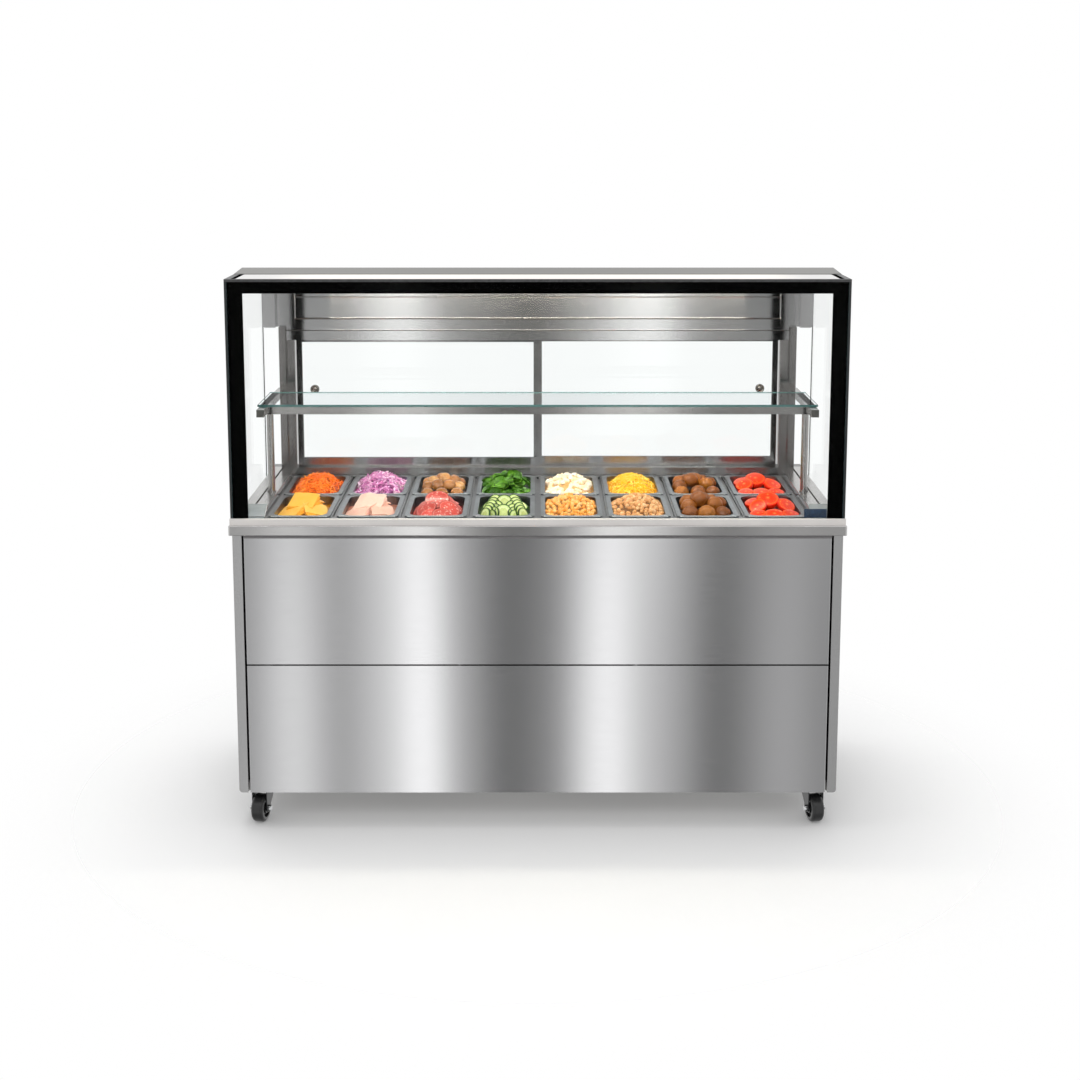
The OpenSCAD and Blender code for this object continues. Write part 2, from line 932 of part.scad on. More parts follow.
module sliding_glass(x0, x1, y, handle_x) {
    mid = y + door_t / 2;
    color("lightblue", 0.4)
        difference() {
            block([x0 + stile_w, mid - 2, door_bottom + door_rail],
                  [x1 - stile_w, mid + 2, door_top - door_rail]);
            rod_y(handle_x, mid - 3, mid + 3, pull_z, pull_d / 2 - 2.5);
        }
}

module sliding_frame_left() {
    sliding_frame(-door_x, door_over, door_y[0], -pull_x);
}

module sliding_glass_left() {
    sliding_glass(-door_x, door_over, door_y[0], -pull_x);
}

module sliding_frame_right() {
    sliding_frame(-door_over, door_x, door_y[1], pull_x);
}

module sliding_glass_right() {
    sliding_glass(-door_over, door_x, door_y[1], pull_x);
}

// ---------------------------------------------------------------- cooling machine

// Hermetic compressor: a domed pot on a foot plate
module compressor() {
    r = 78;
    floor_z = base_z + sheet;
    color("black")
        translate([coil_x, -120, floor_z]) {
            rotate_extrude($fn = 72)
                polygon([[0, 28], [r - 20, 28], [r, 48], [r, 110], [r + 3, 110],
                         [r + 3, 118], [r, 118], [r, 170], [r - 12, 192],
                         [r - 34, 206], [r - 60, 212], [0, 214]]);
            block([-80, -70, 22], [80, 70, 28 + eps]);
            for (x = [-70, 70], y = [-60, 60])
                rod(x, y, 0, 22 + eps, 11);
            rod(50, 0, 200, 250, 5);
        }
}

// Finned condenser with its fan shroud and fan motor
module condenser() {
    floor_z = base_z + sheet;
    fins = 40;
    x0 = coil_x - coil_w / 2;
    z0 = coil_z - coil_h / 2;
    z1 = coil_z + coil_h / 2;
    shroud = coil_y - 30;
    motor = [fan_y - 88, fan_y - 28];
    color("goldenrod") {
        for (i = [0 : fins])
            block([x0 + i * coil_w / fins - 0.4, coil_y, z0],
                  [x0 + i * coil_w / fins + 0.4, coil_y + coil_t, z1]);
        for (z = [z0 + 25 : 50 : z1])
            translate([x0 - 12, coil_y + coil_t / 2, z])
                rotate([0, 90, 0])
                    cylinder(h = coil_w + 24, r = 5);
        for (x = [x0 - 14, x0 + coil_w + 12])
            block([x, coil_y - eps, floor_z], [x + 2, coil_y + coil_t, z1]);
        difference() {
            block([x0 - 14, shroud, floor_z], [x0 + coil_w + 14, coil_y, z1]);
            block([x0 - 12, shroud + 2, floor_z + 2], [x0 + coil_w + 12, coil_y + eps, z1 - 2]);
            rod_y(coil_x, shroud - eps, shroud + 3, coil_z, fan_r + 8);
        }
        rod_y(coil_x, motor[0], motor[1], coil_z, 38);
        rod_y(coil_x, motor[1] - eps, fan_y + 12, coil_z, shaft_r);
        for (a = [45 : 90 : 315])
            translate([coil_x, 0, coil_z])
                rotate([0, a, 0])
                    motor_arm(shroud);
    }
}

// One arm from the motor to the shroud
module motor_arm(shroud) {
    reach = fan_r + 16;
    y = fan_y - 50;
    block([30, y, -5], [reach, y + 3, 5]);
    block([reach - 3, y, -5], [reach, shroud + eps, 5]);
}

// Fan wheel: hub and five pitched blades
module fan() {
    hub = 26;
    blades = 5;
    color("dimgray")
        translate([coil_x, fan_y, coil_z])
            rotate([-90, 0, 0])
                difference() {
                    union() {
                        translate([0, 0, -14])
                            cylinder(h = 28, r = hub);
                        for (i = [0 : blades - 1])
                            rotate([0, 0, i * 360 / blades])
                                fan_blade(hub);
                    }
                    translate([0, 0, -15])
                        cylinder(h = 40, r = shaft_r + fit);
                }
}

module fan_blade(hub) {
    intersection() {
        translate([hub - 4, 0, 0])
            rotate([28, 0, 0])
                translate([0, -36, -1])
                    cube([fan_r, 72, 2]);
        translate([0, 0, -30])
            cylinder(h = 60, r = fan_r);
    }
}

// Serpentine of copper tube bonded under the floor of the well
module evaporator_tube() {
    passes = 8;
    x = 640;
    z = well_floor - sheet - tube_r;
    y0 = -tube_pitch * (passes - 1) / 2 - 20;
    color("peru") {
        for (i = [0 : passes - 1])
            translate([-x, y0 + i * tube_pitch, z])
                rotate([0, 90, 0])
                    cylinder(h = 2 * x, r = tube_r);
        for (i = [0 : passes - 2])
            translate([i % 2 == 0 ? x : -x, y0 + (i + 0.5) * tube_pitch, z])
                rotate([0, 0, i % 2 == 0 ? -90 : 90])
                    rotate_extrude(angle = 180)
                        translate([tube_pitch / 2, 0])
                            circle(tube_r);
    }
}

// ---------------------------------------------------------------- casters

// Places a caster part: s is the side, t is front or rear, drawn with +X outwards
module at_caster(s, t) {
    translate([s * caster_x, t * caster_y, 0])
        rotate([0, 0, s * caster_yaw])
            children();
}

module caster_plates() {
    color("black")
        for (s = [-1, 1], t = [-1, 1])
            difference() {
                translate([s * caster_x, t * caster_y, base_z - plate_t])
                    linear_extrude(plate_t)
                        round_rect(82, 70, 5);
                rod(s * caster_x, t * caster_y, base_z - plate_t - 1, base_z + 1,
                    king_r + fit);
            }
}

// Fork with its swivel crown, king pin and wheel axle; the wheel trails to -Y
module caster_fork() {
    top = base_z - plate_t;
    leg_t = 2.5;
    color("black") {
        rod(0, 0, top - 6, top - 0.3, 29);
        rod(0, 0, top - 1, base_z - 0.5, king_r);
        translate([0, -6, top - 9])
            linear_extrude(3 + eps)
                round_rect(2 * (fork_in + leg_t), 64, 6);
        for (m = [0, 1])
            mirror([m, 0, 0])
                translate([fork_in, 0, 0])
                    rotate([90, 0, 90])
                        linear_extrude(leg_t)
                            fork_leg(top - 6);
        translate([0, -trail, axle_z])
            rotate([0, 90, 0]) {
                cylinder(h = 2 * fork_in + 2 * leg_t + 4, r = axle_r, center = true);
                for (z = [-1, 1])
                    translate([0, 0, z * (fork_in + leg_t + 3)])
                        cylinder(h = 6, r = 8, center = true, $fn = 6);
            }
    }
}

// Outline of a fork leg in the Y-Z plane
module fork_leg(top) {
    polygon([[-36, top], [24, top], [24, top - 12], [-trail + 10, axle_z - 2],
             [-trail - 11, axle_z], [-38, top - 10]]);
    translate([-trail, axle_z])
        circle(11);
}

// Wheel with a rounded tread and a recessed hub
module caster_wheel() {
    r = wheel_d / 2;
    h = wheel_w / 2;
    c = 9;
    color("black")
        translate([0, -trail, axle_z])
            rotate([0, 90, 0])
                rotate_extrude($fn = 72)
                    difference() {
                        union() {
                            translate([axle_r + fit, -h])
                                square([r - c - axle_r - fit, wheel_w]);
                            translate([axle_r + fit, -h + c])
                                square([r - axle_r - fit, wheel_w - 2 * c]);
                            for (y = [-h + c, h - c])
                                translate([r - c, y])
                                    circle(c);
                        }
                        for (s = [-1, 1])
                            translate([14, s > 0 ? h - 6 : -h - 1])
                                square([r - c - 18, 7]);
                    }
}

// ---------------------------------------------------------------- the assembly

base_tray();
caster_plates();
side_panel_left();
side_panel_right();
front_panel_upper();
front_panel_lower();
rear_frame();
machine_panel();
worktop();
glass_ledge();
well_liner();
pan_rack();
side_ledges();
rear_sill();
uprights();
header_box();
front_glass();
side_glasses();
roof_glass();
roof_trim();
roof_cover();
led_bar();
shelf_glass();
shelf_frame();
tube_end_caps();
compressor();
condenser();
evaporator_tube();
cupboard_door_left();
cupboard_door_right();
fan();
rocker_switch();
sliding_frame_left();
sliding_glass_left();
sliding_frame_right();
sliding_glass_right();
for (i = [0 : 3]) {
    s = i % 2 == 0 ? -1 : 1;
    t = i < 2 ? -1 : 1;
    at_caster(s, t) caster_fork();
    at_caster(s, t) caster_wheel();
}
for (i = [0 : len(PAN_NODES) - 1])
    color("silver") pan(pan_x(i % pan_columns), row_y[floor(i / pan_columns)]);
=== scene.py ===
# %% [markdown]
# # A salad bar on casters, built round its CAD frame
# The real object is a stainless steel counter with a glass canopy, a cold well with sixteen
# lift-out pans of food, and a shelf over them. Its sheet metal, glass and wheels come from the
# CAD model, which this script loads and never changes. What is added here is what a drawing
# office leaves out: the finishes, the printed glass border, the fasteners and the food.

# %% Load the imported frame
import math
import random

import bmesh
import bpy
from mathutils import Euler, Matrix, Vector, noise


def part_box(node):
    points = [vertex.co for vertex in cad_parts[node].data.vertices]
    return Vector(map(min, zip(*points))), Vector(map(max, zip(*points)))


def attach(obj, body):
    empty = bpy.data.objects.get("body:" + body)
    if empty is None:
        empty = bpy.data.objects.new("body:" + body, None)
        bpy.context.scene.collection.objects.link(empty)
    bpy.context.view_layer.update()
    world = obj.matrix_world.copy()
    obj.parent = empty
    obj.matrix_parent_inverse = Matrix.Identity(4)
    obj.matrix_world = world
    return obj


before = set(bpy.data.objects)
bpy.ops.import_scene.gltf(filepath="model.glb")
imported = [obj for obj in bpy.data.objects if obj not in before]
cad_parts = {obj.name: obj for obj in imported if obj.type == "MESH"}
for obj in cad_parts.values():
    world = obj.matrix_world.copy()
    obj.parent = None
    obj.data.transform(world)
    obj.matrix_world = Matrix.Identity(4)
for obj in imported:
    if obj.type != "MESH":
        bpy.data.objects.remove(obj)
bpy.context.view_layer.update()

MM = 0.001

# %% [markdown]
# ## The camera
# The photograph is taken from in front, a little above the canopy, through a long lens. Fitting
# a pinhole model to the pan columns and the canopy edges gives the focal length in pixels, the
# point where the lens axis meets the picture, and the camera's place. The axis lies above the
# middle of the picture, so the lens is shifted by the same share of the frame.

# %% Camera
PHOTO_SIZE = 1080
FOCAL_PIXELS = 1745.6
AXIS_AT = (537.7, 410.0)
PITCH_DEG = 9.27
CAMERA_PLACE = (0.0, -4.777, 1.8585)
SENSOR_WIDTH = 36.0

scene = bpy.context.scene
camera = bpy.data.objects.new("camera", bpy.data.cameras.new("camera"))
scene.collection.objects.link(camera)
camera.location = CAMERA_PLACE
camera.rotation_euler = (math.radians(90 - PITCH_DEG), 0, 0)
camera.data.sensor_width = SENSOR_WIDTH
camera.data.lens = SENSOR_WIDTH * FOCAL_PIXELS / PHOTO_SIZE
camera.data.shift_x = (PHOTO_SIZE / 2 - AXIS_AT[0]) / PHOTO_SIZE
camera.data.shift_y = (AXIS_AT[1] - PHOTO_SIZE / 2) / PHOTO_SIZE
scene.camera = camera
scene.view_settings.view_transform = "Standard"
print("lens in mm:", round(camera.data.lens, 1), "shift:", round(camera.data.shift_y, 3))

# %% [markdown]
# ## Two helpers for shader nodes
# Colours are written as the hex values that a screen shows, and a shader works with linear
# light, so one function converts them. Another adds any node with its settings and its links.

# %% Shader helpers
def linear(hex_colour):
    """The linear RGBA of an sRGB hex colour."""
    channels = [int(hex_colour[i:i + 2], 16) / 255 for i in (1, 3, 5)]
    curve = [c / 12.92 if c <= 0.04045 else ((c + 0.055) / 1.055) ** 2.4 for c in channels]
    return (*curve, 1.0)


def add_node(tree, kind, settings=None, inputs=None):
    """Adds a node. An input is a number, a colour, or another node's output socket.

    The setting "stops" fills a colour ramp with pairs of a position and a colour.
    """
    made = tree.nodes.new("ShaderNode" + kind)
    for name, value in (settings or {}).items():
        if name != "stops":
            setattr(made, name, value)
            continue
        elements = made.color_ramp.elements
        while len(elements) > 1:
            elements.remove(elements[-1])
        for position, _ in value[1:]:
            elements.new(position)
        for element, (position, colour) in zip(elements, value):
            element.position = position
            element.color = colour
    for name, value in (inputs or {}).items():
        if isinstance(value, bpy.types.NodeSocket):
            tree.links.new(value, made.inputs[name])
        else:
            made.inputs[name].default_value = value
    return made


def new_material(name):
    """An empty material and its node tree."""
    material = bpy.data.materials.new(name)
    material.use_nodes = True
    material.node_tree.nodes.clear()
    return material, material.node_tree


# %% [markdown]
# ## The studio
# Steel has no colour of its own to speak of: it shows the room. The photographer's room is
# white, with tall soft lights on both sides of the camera and darker gaps between them. The
# world gives those lights by direction, as a ramp over the compass angle, and only to light
# that has met something glossy. Dull surfaces see an even pale room, and the camera sees white.
# The panels look down at the floor in front and the pans look up, so the lights also fade with
# the height angle: white overhead, and grey under the floor.

# %% Studio lights by angle
FRONT_HALF_DEG = 13          # half the angle in front that the first two tables cover
RAIL_TO_PANEL_DEG = (-8.0, -11.0)  # height angles between which the second gives way to the first
STUDIO_GAIN = 2.0            # the brightest that a ramp may hold, because its colours end at 1
FRONT_LIGHTS = (  # compass angle in degrees from straight ahead of the object, and brightness
    (-13, 0.50), (-9.9, 0.42), (-8.4, 1.36), (-6.8, 0.46), (-5.2, 0.92), (-3.9, 1.95),
    (-2.7, 0.60), (-1.1, 0.16), (0.5, 0.34), (2.4, 1.80), (3.6, 0.86), (4.5, 0.62), (6.1, 0.15),
    (8.5, 0.64), (9.7, 0.34), (13, 0.50),
)
HEADER_LIGHTS = (  # the same, for the rails that look straight ahead and not down
    (-13, 0.80), (-9.5, 0.62), (-8.2, 0.30), (-6.6, 0.38), (-4.6, 1.50), (-3.1, 0.36),
    (-1.6, 0.28), (-0.1, 0.12), (1.6, 0.38), (3.9, 1.78), (5.1, 0.48), (6.7, 0.38), (7.9, 0.28),
    (9.5, 0.66), (13, 0.80),
)
ROUND_LIGHTS = (  # the rest of the room; 180 is straight behind the object
    (-180, 0.55), (-173.5, 1.00), (-166.5, 1.00), (-155, 0.60), (-135, 0.95), (-115, 0.50),
    (-92, 1.10), (-72, 0.80), (-50, 0.45), (-30, 0.90), (-13, 0.50), (13, 0.50), (30, 0.90),
    (50, 0.45), (72, 0.80), (92, 1.10), (115, 0.50), (135, 0.95), (155, 0.60), (166.5, 1.00),
    (173.5, 1.00), (180, 0.55),
)
HEIGHT_LIGHTS = (  # angle over the horizon, the share of the studio lights, and even light
    (-90, 0.20, 0.20), (-36, 0.35, 0.15), (-27, 1.00, 0.00), (24, 1.00, 0.00), (40, 0.00, 1.00),
    (90, 0.00, 1.00),
)
AMBIENT = linear("#D6D6D6")
ROOM_WHITE = (1.0, 1.0, 1.0, 1.0)
print("studio lights in front:", len(FRONT_LIGHTS), "for the panels and", len(HEADER_LIGHTS),
      "for the rails, over", 2 * FRONT_HALF_DEG, "degrees")


# %% Reading a table
def light_ramp(tree, angle, stops, column=1, gain=1.0):
    """Reads brightness at an angle in degrees from a table of stops."""
    first, last = stops[0][0], stops[-1][0]
    place = add_node(tree, "MapRange", inputs={
        "Value": angle, "From Min": math.radians(first),
        "From Max": math.radians(last)}).outputs[0]
    shares = [((stop[0] - first) / (last - first), (stop[column] / gain,) * 3 + (1.0,))
              for stop in stops]
    ramp = add_node(tree, "ValToRGB", {"stops": shares}, {"Fac": place})
    ramp.color_ramp.interpolation = "EASE"
    colour = ramp.outputs["Color"]
    return add_node(tree, "Math", {"operation": "MULTIPLY"}, {0: colour, 1: gain}).outputs[0]


# %% Studio world
world = bpy.data.worlds.new("studio")
scene.world = world
world.use_nodes = True
world.cycles.sampling_method = "NONE"  # rays that leave steel find the lights by themselves
tree = world.node_tree
tree.nodes.clear()
ray = add_node(tree, "TexCoord").outputs["Generated"]
split = add_node(tree, "SeparateXYZ", inputs={"Vector": ray})
to_front = add_node(tree, "Math", {"operation": "MULTIPLY"}, {0: split.outputs["Y"], 1: -1.0})
compass = add_node(tree, "Math", {"operation": "ARCTAN2"},
                   {0: split.outputs["X"], 1: to_front.outputs[0]}).outputs[0]
height_angle = add_node(tree, "Math", {"operation": "ARCSINE"}, {0: split.outputs["Z"]}).outputs[0]
beside = add_node(tree, "Math", {"operation": "ABSOLUTE"}, {0: compass}).outputs[0]
is_front = add_node(tree, "Math", {"operation": "LESS_THAN"},
                    {0: beside, 1: math.radians(FRONT_HALF_DEG)}).outputs[0]
looks_down = add_node(tree, "MapRange", inputs={
    "Value": height_angle, "From Min": math.radians(RAIL_TO_PANEL_DEG[0]),
    "From Max": math.radians(RAIL_TO_PANEL_DEG[1])}).outputs[0]
front = add_node(tree, "Mix", {"data_type": "FLOAT"}, {
    0: looks_down,
    2: light_ramp(tree, compass, HEADER_LIGHTS, gain=STUDIO_GAIN),
    3: light_ramp(tree, compass, FRONT_LIGHTS, gain=STUDIO_GAIN)}).outputs[0]
lights = add_node(tree, "Mix", {"data_type": "FLOAT"}, {
    0: is_front, 2: light_ramp(tree, compass, ROUND_LIGHTS, gain=STUDIO_GAIN),
    3: front}).outputs[0]
studio = add_node(tree, "Math", {"operation": "MULTIPLY_ADD"}, {
    0: lights,
    1: light_ramp(tree, height_angle, HEIGHT_LIGHTS, 1),
    2: light_ramp(tree, height_angle, HEIGHT_LIGHTS, 2)}).outputs[0]
path = add_node(tree, "LightPath").outputs
met_gloss = add_node(tree, "Math", {"operation": "GREATER_THAN"},
                     {0: path["Glossy Depth"], 1: 0.5}).outputs[0]
met_dull = add_node(tree, "Math", {"operation": "GREATER_THAN"},
                    {0: path["Diffuse Depth"], 1: 0.5}).outputs[0]
for_gloss = add_node(tree, "Mix", {"data_type": "RGBA"},
                     {0: met_gloss, 6: ROOM_WHITE, 7: studio}).outputs[2]
seen = add_node(tree, "Mix", {"data_type": "RGBA"}, {0: met_dull, 6: for_gloss, 7: AMBIENT})
background = add_node(tree, "Background", inputs={"Color": seen.outputs[2], "Strength": 1.0})
add_node(tree, "OutputWorld", inputs={"Surface": background.outputs[0]})
print("nodes in the world:", len(tree.nodes))

# %% [markdown]
# ## The floor and the lamps
# The floor is a pale plane that takes the soft shadow. It has a little light of its own, and it
# fades out round the counter, so that it meets the white room without a line. Glossy rays pass
# through it, so that the low steel shows the studio lights. Two large soft lamps light it all,
# and a long narrow one under the canopy does what the counter's own light bar does.

# %% Floor paint
FLOOR_HALF = 5.0
FLOOR_GLOW = 0.09
FLOOR_FADE = (0.75, 1.6)  # metres from the middle of the counter over which it fades out
# Matt pale paint: no gloss at all, so it shows nothing but the soft shadow of the counter
floor_material, tree = new_material("painted_floor")
path = add_node(tree, "LightPath").outputs
place = add_node(tree, "TexCoord").outputs["Object"]
away = add_node(tree, "VectorMath", {"operation": "LENGTH"}, {0: place}).outputs["Value"]
faded = add_node(tree, "MapRange", {"interpolation_type": "SMOOTHSTEP"}, {
    "Value": away, "From Min": FLOOR_FADE[0], "From Max": FLOOR_FADE[1]}).outputs[0]
paint = add_node(tree, "BsdfDiffuse", inputs={"Color": linear("#E6E6E6")}).outputs[0]
own_light = add_node(tree, "Emission", inputs={
    "Color": ROOM_WHITE, "Strength": FLOOR_GLOW}).outputs[0]
lit = add_node(tree, "AddShader", inputs={0: paint, 1: own_light}).outputs[0]
through = add_node(tree, "BsdfTransparent").outputs[0]
clear = add_node(tree, "Math", {"operation": "MAXIMUM"},
                 {0: faded, 1: path["Glossy Depth"]}).outputs[0]
clear_share = add_node(tree, "Math", {"operation": "MINIMUM"}, {0: clear, 1: 1.0}).outputs[0]
shader = add_node(tree, "MixShader", inputs={0: clear_share, 1: lit, 2: through}).outputs[0]
add_node(tree, "OutputMaterial", inputs={"Surface": shader})

# %% Floor plane
bm = bmesh.new()
bmesh.ops.create_grid(bm, x_segments=2, y_segments=2, size=FLOOR_HALF)
mesh = bpy.data.meshes.new("floor")
bm.to_mesh(mesh)
bm.free()
mesh.materials.append(floor_material)
floor = bpy.data.objects.new("floor", mesh)
scene.collection.objects.link(floor)
print("floor, metres across:", 2 * FLOOR_HALF)


# %% Lamps
def soft_lamp(name, place, aim, size, watts):
    """A rectangular area lamp at a place, turned to a point."""
    data = bpy.data.lights.new(name, "AREA")
    data.shape = "RECTANGLE"
    data.size, data.size_y = size
    data.energy = watts
    lamp = bpy.data.objects.new(name, data)
    scene.collection.objects.link(lamp)
    lamp.location = place
    lamp.rotation_euler = (Vector(aim) - Vector(place)).to_track_quat("-Z", "Y").to_euler()
    lamp.visible_camera = False
    return lamp


ABOVE_WATTS, FRONT_WATTS, BAR_WATTS = 112, 46, 4.2
above_box = soft_lamp("softbox_above", (-0.3, 0.6, 5.0), (0, 0, 0.4), (3.0, 2.6), ABOVE_WATTS)
front_box = soft_lamp("softbox_front", (0, -4.2, 3.0), (0, 0, 1.0), (2.6, 1.6), FRONT_WATTS)
above_box.visible_glossy = front_box.visible_glossy = False  # the steel shows the world's lights
light_bar = soft_lamp("light_bar_lamp", (0, -0.16, 1.425), (0, -0.02, 0.85), (1.3, 0.05),
                      BAR_WATTS)
light_bar.data.color = linear("#FFF6E8")[:3]

# %% [markdown]
# ## Stainless steel
# The panels are cold rolled stainless sheet with a brushed finish: fine parallel scratches
# from an abrasive belt. They smear a reflection across the scratches, so a lamp becomes a long
# band. The shader does this with anisotropy: it is told the direction of the smear, and a
# noise stretched along the scratches changes tone, roughness and height. Real scratches are a
# tenth of a millimetre wide; they are drawn about 1 mm wide so that they show at all.

# %% Brushed steel
SMEAR_UPRIGHT = (0.0, 0.05, 1.0)   # scratches along X
SMEAR_SIDEWAYS = (1.0, 1.0, 0.02)  # scratches along Z
SMEAR_ACROSS = (1.0, 0.02, 1.0)    # scratches along Y
CLOUD_SIZE = 220 * MM   # slow changes of tone that a rolled sheet has from end to end
CLOUD_SHARE = 0.25      # how much they count beside the scratches


def brushed(name, colour, roughness, scratch, smear, anisotropy=1.0, contrast=0.02, dent=0.03):
    """Brushed metal. scratch is the size of one mark along X, Y and Z in mm."""
    material, tree = new_material(name)
    place = add_node(tree, "TexCoord").outputs["Object"]
    stretched = add_node(tree, "Mapping", inputs={
        "Vector": place, "Scale": [1 / (size * MM) for size in scratch]}).outputs[0]
    marks = add_node(tree, "TexNoise", inputs={
        "Vector": stretched, "Scale": 1.0, "Detail": 4.0, "Roughness": 0.65}).outputs[0]
    clouds = add_node(tree, "TexNoise", inputs={
        "Vector": place, "Scale": 1 / CLOUD_SIZE, "Detail": 2.0}).outputs[0]
    both = add_node(tree, "Mix", {"data_type": "FLOAT"}, {0: CLOUD_SHARE, 2: marks, 3: clouds})
    base = linear(colour)
    tone = add_node(tree, "Mix", {"data_type": "RGBA"}, {
        0: both.outputs[0],
        6: (*[c * (1 - 2 * contrast) for c in base[:3]], 1),
        7: (*[min(1, c * (1 + 2 * contrast)) for c in base[:3]], 1)}).outputs[2]
    polish = add_node(tree, "MapRange", inputs={
        "Value": marks, "From Min": 0.3, "From Max": 0.7,
        "To Min": roughness - 0.015, "To Max": roughness + 0.02}).outputs[0]
    height = add_node(tree, "Bump", inputs={
        "Strength": dent, "Distance": 0.2 * MM, "Height": marks}).outputs[0]
    along = add_node(tree, "CombineXYZ", inputs=dict(zip("XYZ", smear))).outputs[0]
    shader = add_node(tree, "BsdfPrincipled", inputs={
        "Base Color": tone, "Metallic": 1.0, "Roughness": polish, "Normal": height,
        "Anisotropic": anisotropy, "Tangent": along}).outputs[0]
    add_node(tree, "OutputMaterial", inputs={"Surface": shader})
    return material


# %% The steel of each part
# Front panels: a fine belt finish that draws each studio light into a tall soft band
panel_steel = brushed("brushed_steel_panels", "#CDCDCE", 0.13, (70, 70, 1.0), SMEAR_UPRIGHT)
# Ends, doors and machine panel: the same sheet, duller, so its bands run together
side_steel = brushed("brushed_steel_sides", "#CDCDCD", 0.20, (70, 70, 1.0), SMEAR_UPRIGHT)
# Worktop: rubbed bright by use, so its folded rim shows one clear pale line
worktop_steel = brushed("brushed_steel_worktop", "#CBCAC9", 0.15, (90, 1.0, 1.0), SMEAR_UPRIGHT)
# Rear sill: seen low over the pans, darker than the worktop steel as painted shade behind the
# pans, with a faint image of them
sill_steel_painted_shade = brushed("brushed_steel_sill_painted_shade", "#8A8887", 0.20, (90, 1.0, 1.0), SMEAR_UPRIGHT)
# Posts: ground along their length, so their streaks stand upright
upright_steel = brushed("brushed_steel_uprights", "#A6A3A1", 0.17, (1.0, 1.0, 90),
                        SMEAR_SIDEWAYS, 0.7)
# Header: the brightest finish, with the crispest dark and light bands
header_steel = brushed("brushed_steel_header", "#C9C8C8", 0.12, (90, 1.0, 1.0), SMEAR_UPRIGHT)
# Door frames: narrow mid grey lines round the clear panes
door_steel = brushed("brushed_steel_door_frames", "#A19F9E", 0.15, (90, 1.0, 1.0), SMEAR_UPRIGHT)
# Side ledges: ground from front to back, so the light bar runs out along them
ledge_steel = brushed("brushed_steel_ledges", "#A9A6A4", 0.18, (1.0, 90, 1.0), SMEAR_ACROSS, 0.7)
# Rack: dull, and coloured dark as painted shade in the gaps between the pans, so the bright
# rims of the pans stand out from it
rack_steel_painted_shade = brushed("brushed_steel_rack_painted_shade", "#6E6E6F", 0.30, (1.0, 60, 1.0), SMEAR_ACROSS, 0.6)
# Inside sheets: mill finish, a soft grey without clear images
inner_steel = brushed("rolled_steel_inside", "#A3A2A0", 0.42, (60, 60, 2.0), SMEAR_UPRIGHT, 0.3)
# Roof cover: a coarse satin, an even matt grey that mirrors nothing
roof_steel = brushed("satin_steel_roof", "#A09F9D", 0.50, (120, 2.0, 2.0), SMEAR_UPRIGHT, 0.3)
# Shelf frame: thin bright tubes, each with a dark line along its middle
shelf_steel = brushed("brushed_steel_shelf_frame", "#ADABA9", 0.16, (70, 70, 1.0), SMEAR_UPRIGHT)
print("steel finishes:", len([m for m in bpy.data.materials if "steel" in m.name]))

# %% [markdown]
# ## Pressed pans, cast and painted metal
# The pans are deep drawn from bright annealed sheet: smooth and a little milky where the metal
# stretched. Their cool darker grey is painted shade, with the tint of the glass over them. Painted
# and cast metals are simpler: one colour with a faint grain in its gloss, as powder coat and
# enamel have. The real grain is a tenth of a millimetre or less, and a pixel of the picture covers
# 2.5 mm, so each grain is drawn 2 to 60 mm wide, as the slow change of tone that the eye does see.

# %% Pressed and painted metal
def grained(name, colours, grain, roughness, metallic=0.0, dent=0.05, spread=0.05, coat=0.0,
            specular=0.5):
    """A surface between two colours, with a noise of the given grain in mm."""
    material, tree = new_material(name)
    place = add_node(tree, "TexCoord").outputs["Object"]
    speck = add_node(tree, "TexNoise", inputs={
        "Vector": place, "Scale": 1 / (grain * MM), "Detail": 3.0}).outputs[0]
    mix = add_node(tree, "MapRange", inputs={
        "Value": speck, "From Min": 0.35, "From Max": 0.65}).outputs[0]
    tone = add_node(tree, "Mix", {"data_type": "RGBA"}, {
        0: mix, 6: linear(colours[0]), 7: linear(colours[-1])}).outputs[2]
    polish = add_node(tree, "MapRange", inputs={
        "Value": speck, "From Min": 0.3, "From Max": 0.7,
        "To Min": max(0.02, roughness - spread), "To Max": roughness + spread}).outputs[0]
    height = add_node(tree, "Bump", inputs={
        "Strength": dent, "Distance": 0.3 * MM, "Height": speck}).outputs[0]
    shader = add_node(tree, "BsdfPrincipled", inputs={
        "Base Color": tone, "Metallic": metallic, "Roughness": polish, "Normal": height,
        "Coat Weight": coat, "Specular IOR Level": specular}).outputs[0]
    add_node(tree, "OutputMaterial", inputs={"Surface": shader})
    return material


# %% Metals, plastics and prints
# Pans: drawn sheet, smooth and a little milky, so their walls shade softly to the bottom; their
# cool darker grey is painted shade
pan_steel_painted_shade = grained("pressed_steel_pans_painted_shade", ("#868A8E", "#999DA1"), 40, 0.33, metallic=1.0,
                    dent=0.0, spread=0.02)
# Ledge caps: pale moulded nylon, matt, so the slope beside the glass stays quiet
cap_grey = grained("moulded_grey_nylon_caps", ("#8E9395", "#969B9D"), 30, 0.55, dent=0.02)
# Pan lips: the rolled front edge, coloured near white as a painted highlight: a pale line
# before the dark gap of the rack
lip_painted_highlight = grained("polished_steel_pan_lips", ("#D8DDE0", "#E6EAEC"), 25, 0.40, metallic=0.15)
# Glass ledge: a bead-blasted strip, the palest line of the counter under the glass
pale_steel = grained("satin_steel_glass_ledge", ("#DDD9D6", "#E3DFDC"), 60, 0.50, metallic=0.25,
                     dent=0.02)
# Roof trims: anodised dark grey, a satin edge round the canopy
dark_trim = grained("anodised_aluminium_trim", ("#4C4C4D", "#5C5C5D"), 6, 0.40, metallic=0.8)
# Pulls: dark nickel, glossy enough for one small light on the dome
pull_metal = grained("dark_nickel_pulls", ("#7A7772", "#938F8A"), 5, 0.26, metallic=1.0)
# Tube end caps: moulded nylon, a matt dark square at each end of the shelf rail
end_cap_plastic = grained("moulded_nylon_caps", ("#4A4946", "#595854"), 3, 0.45)
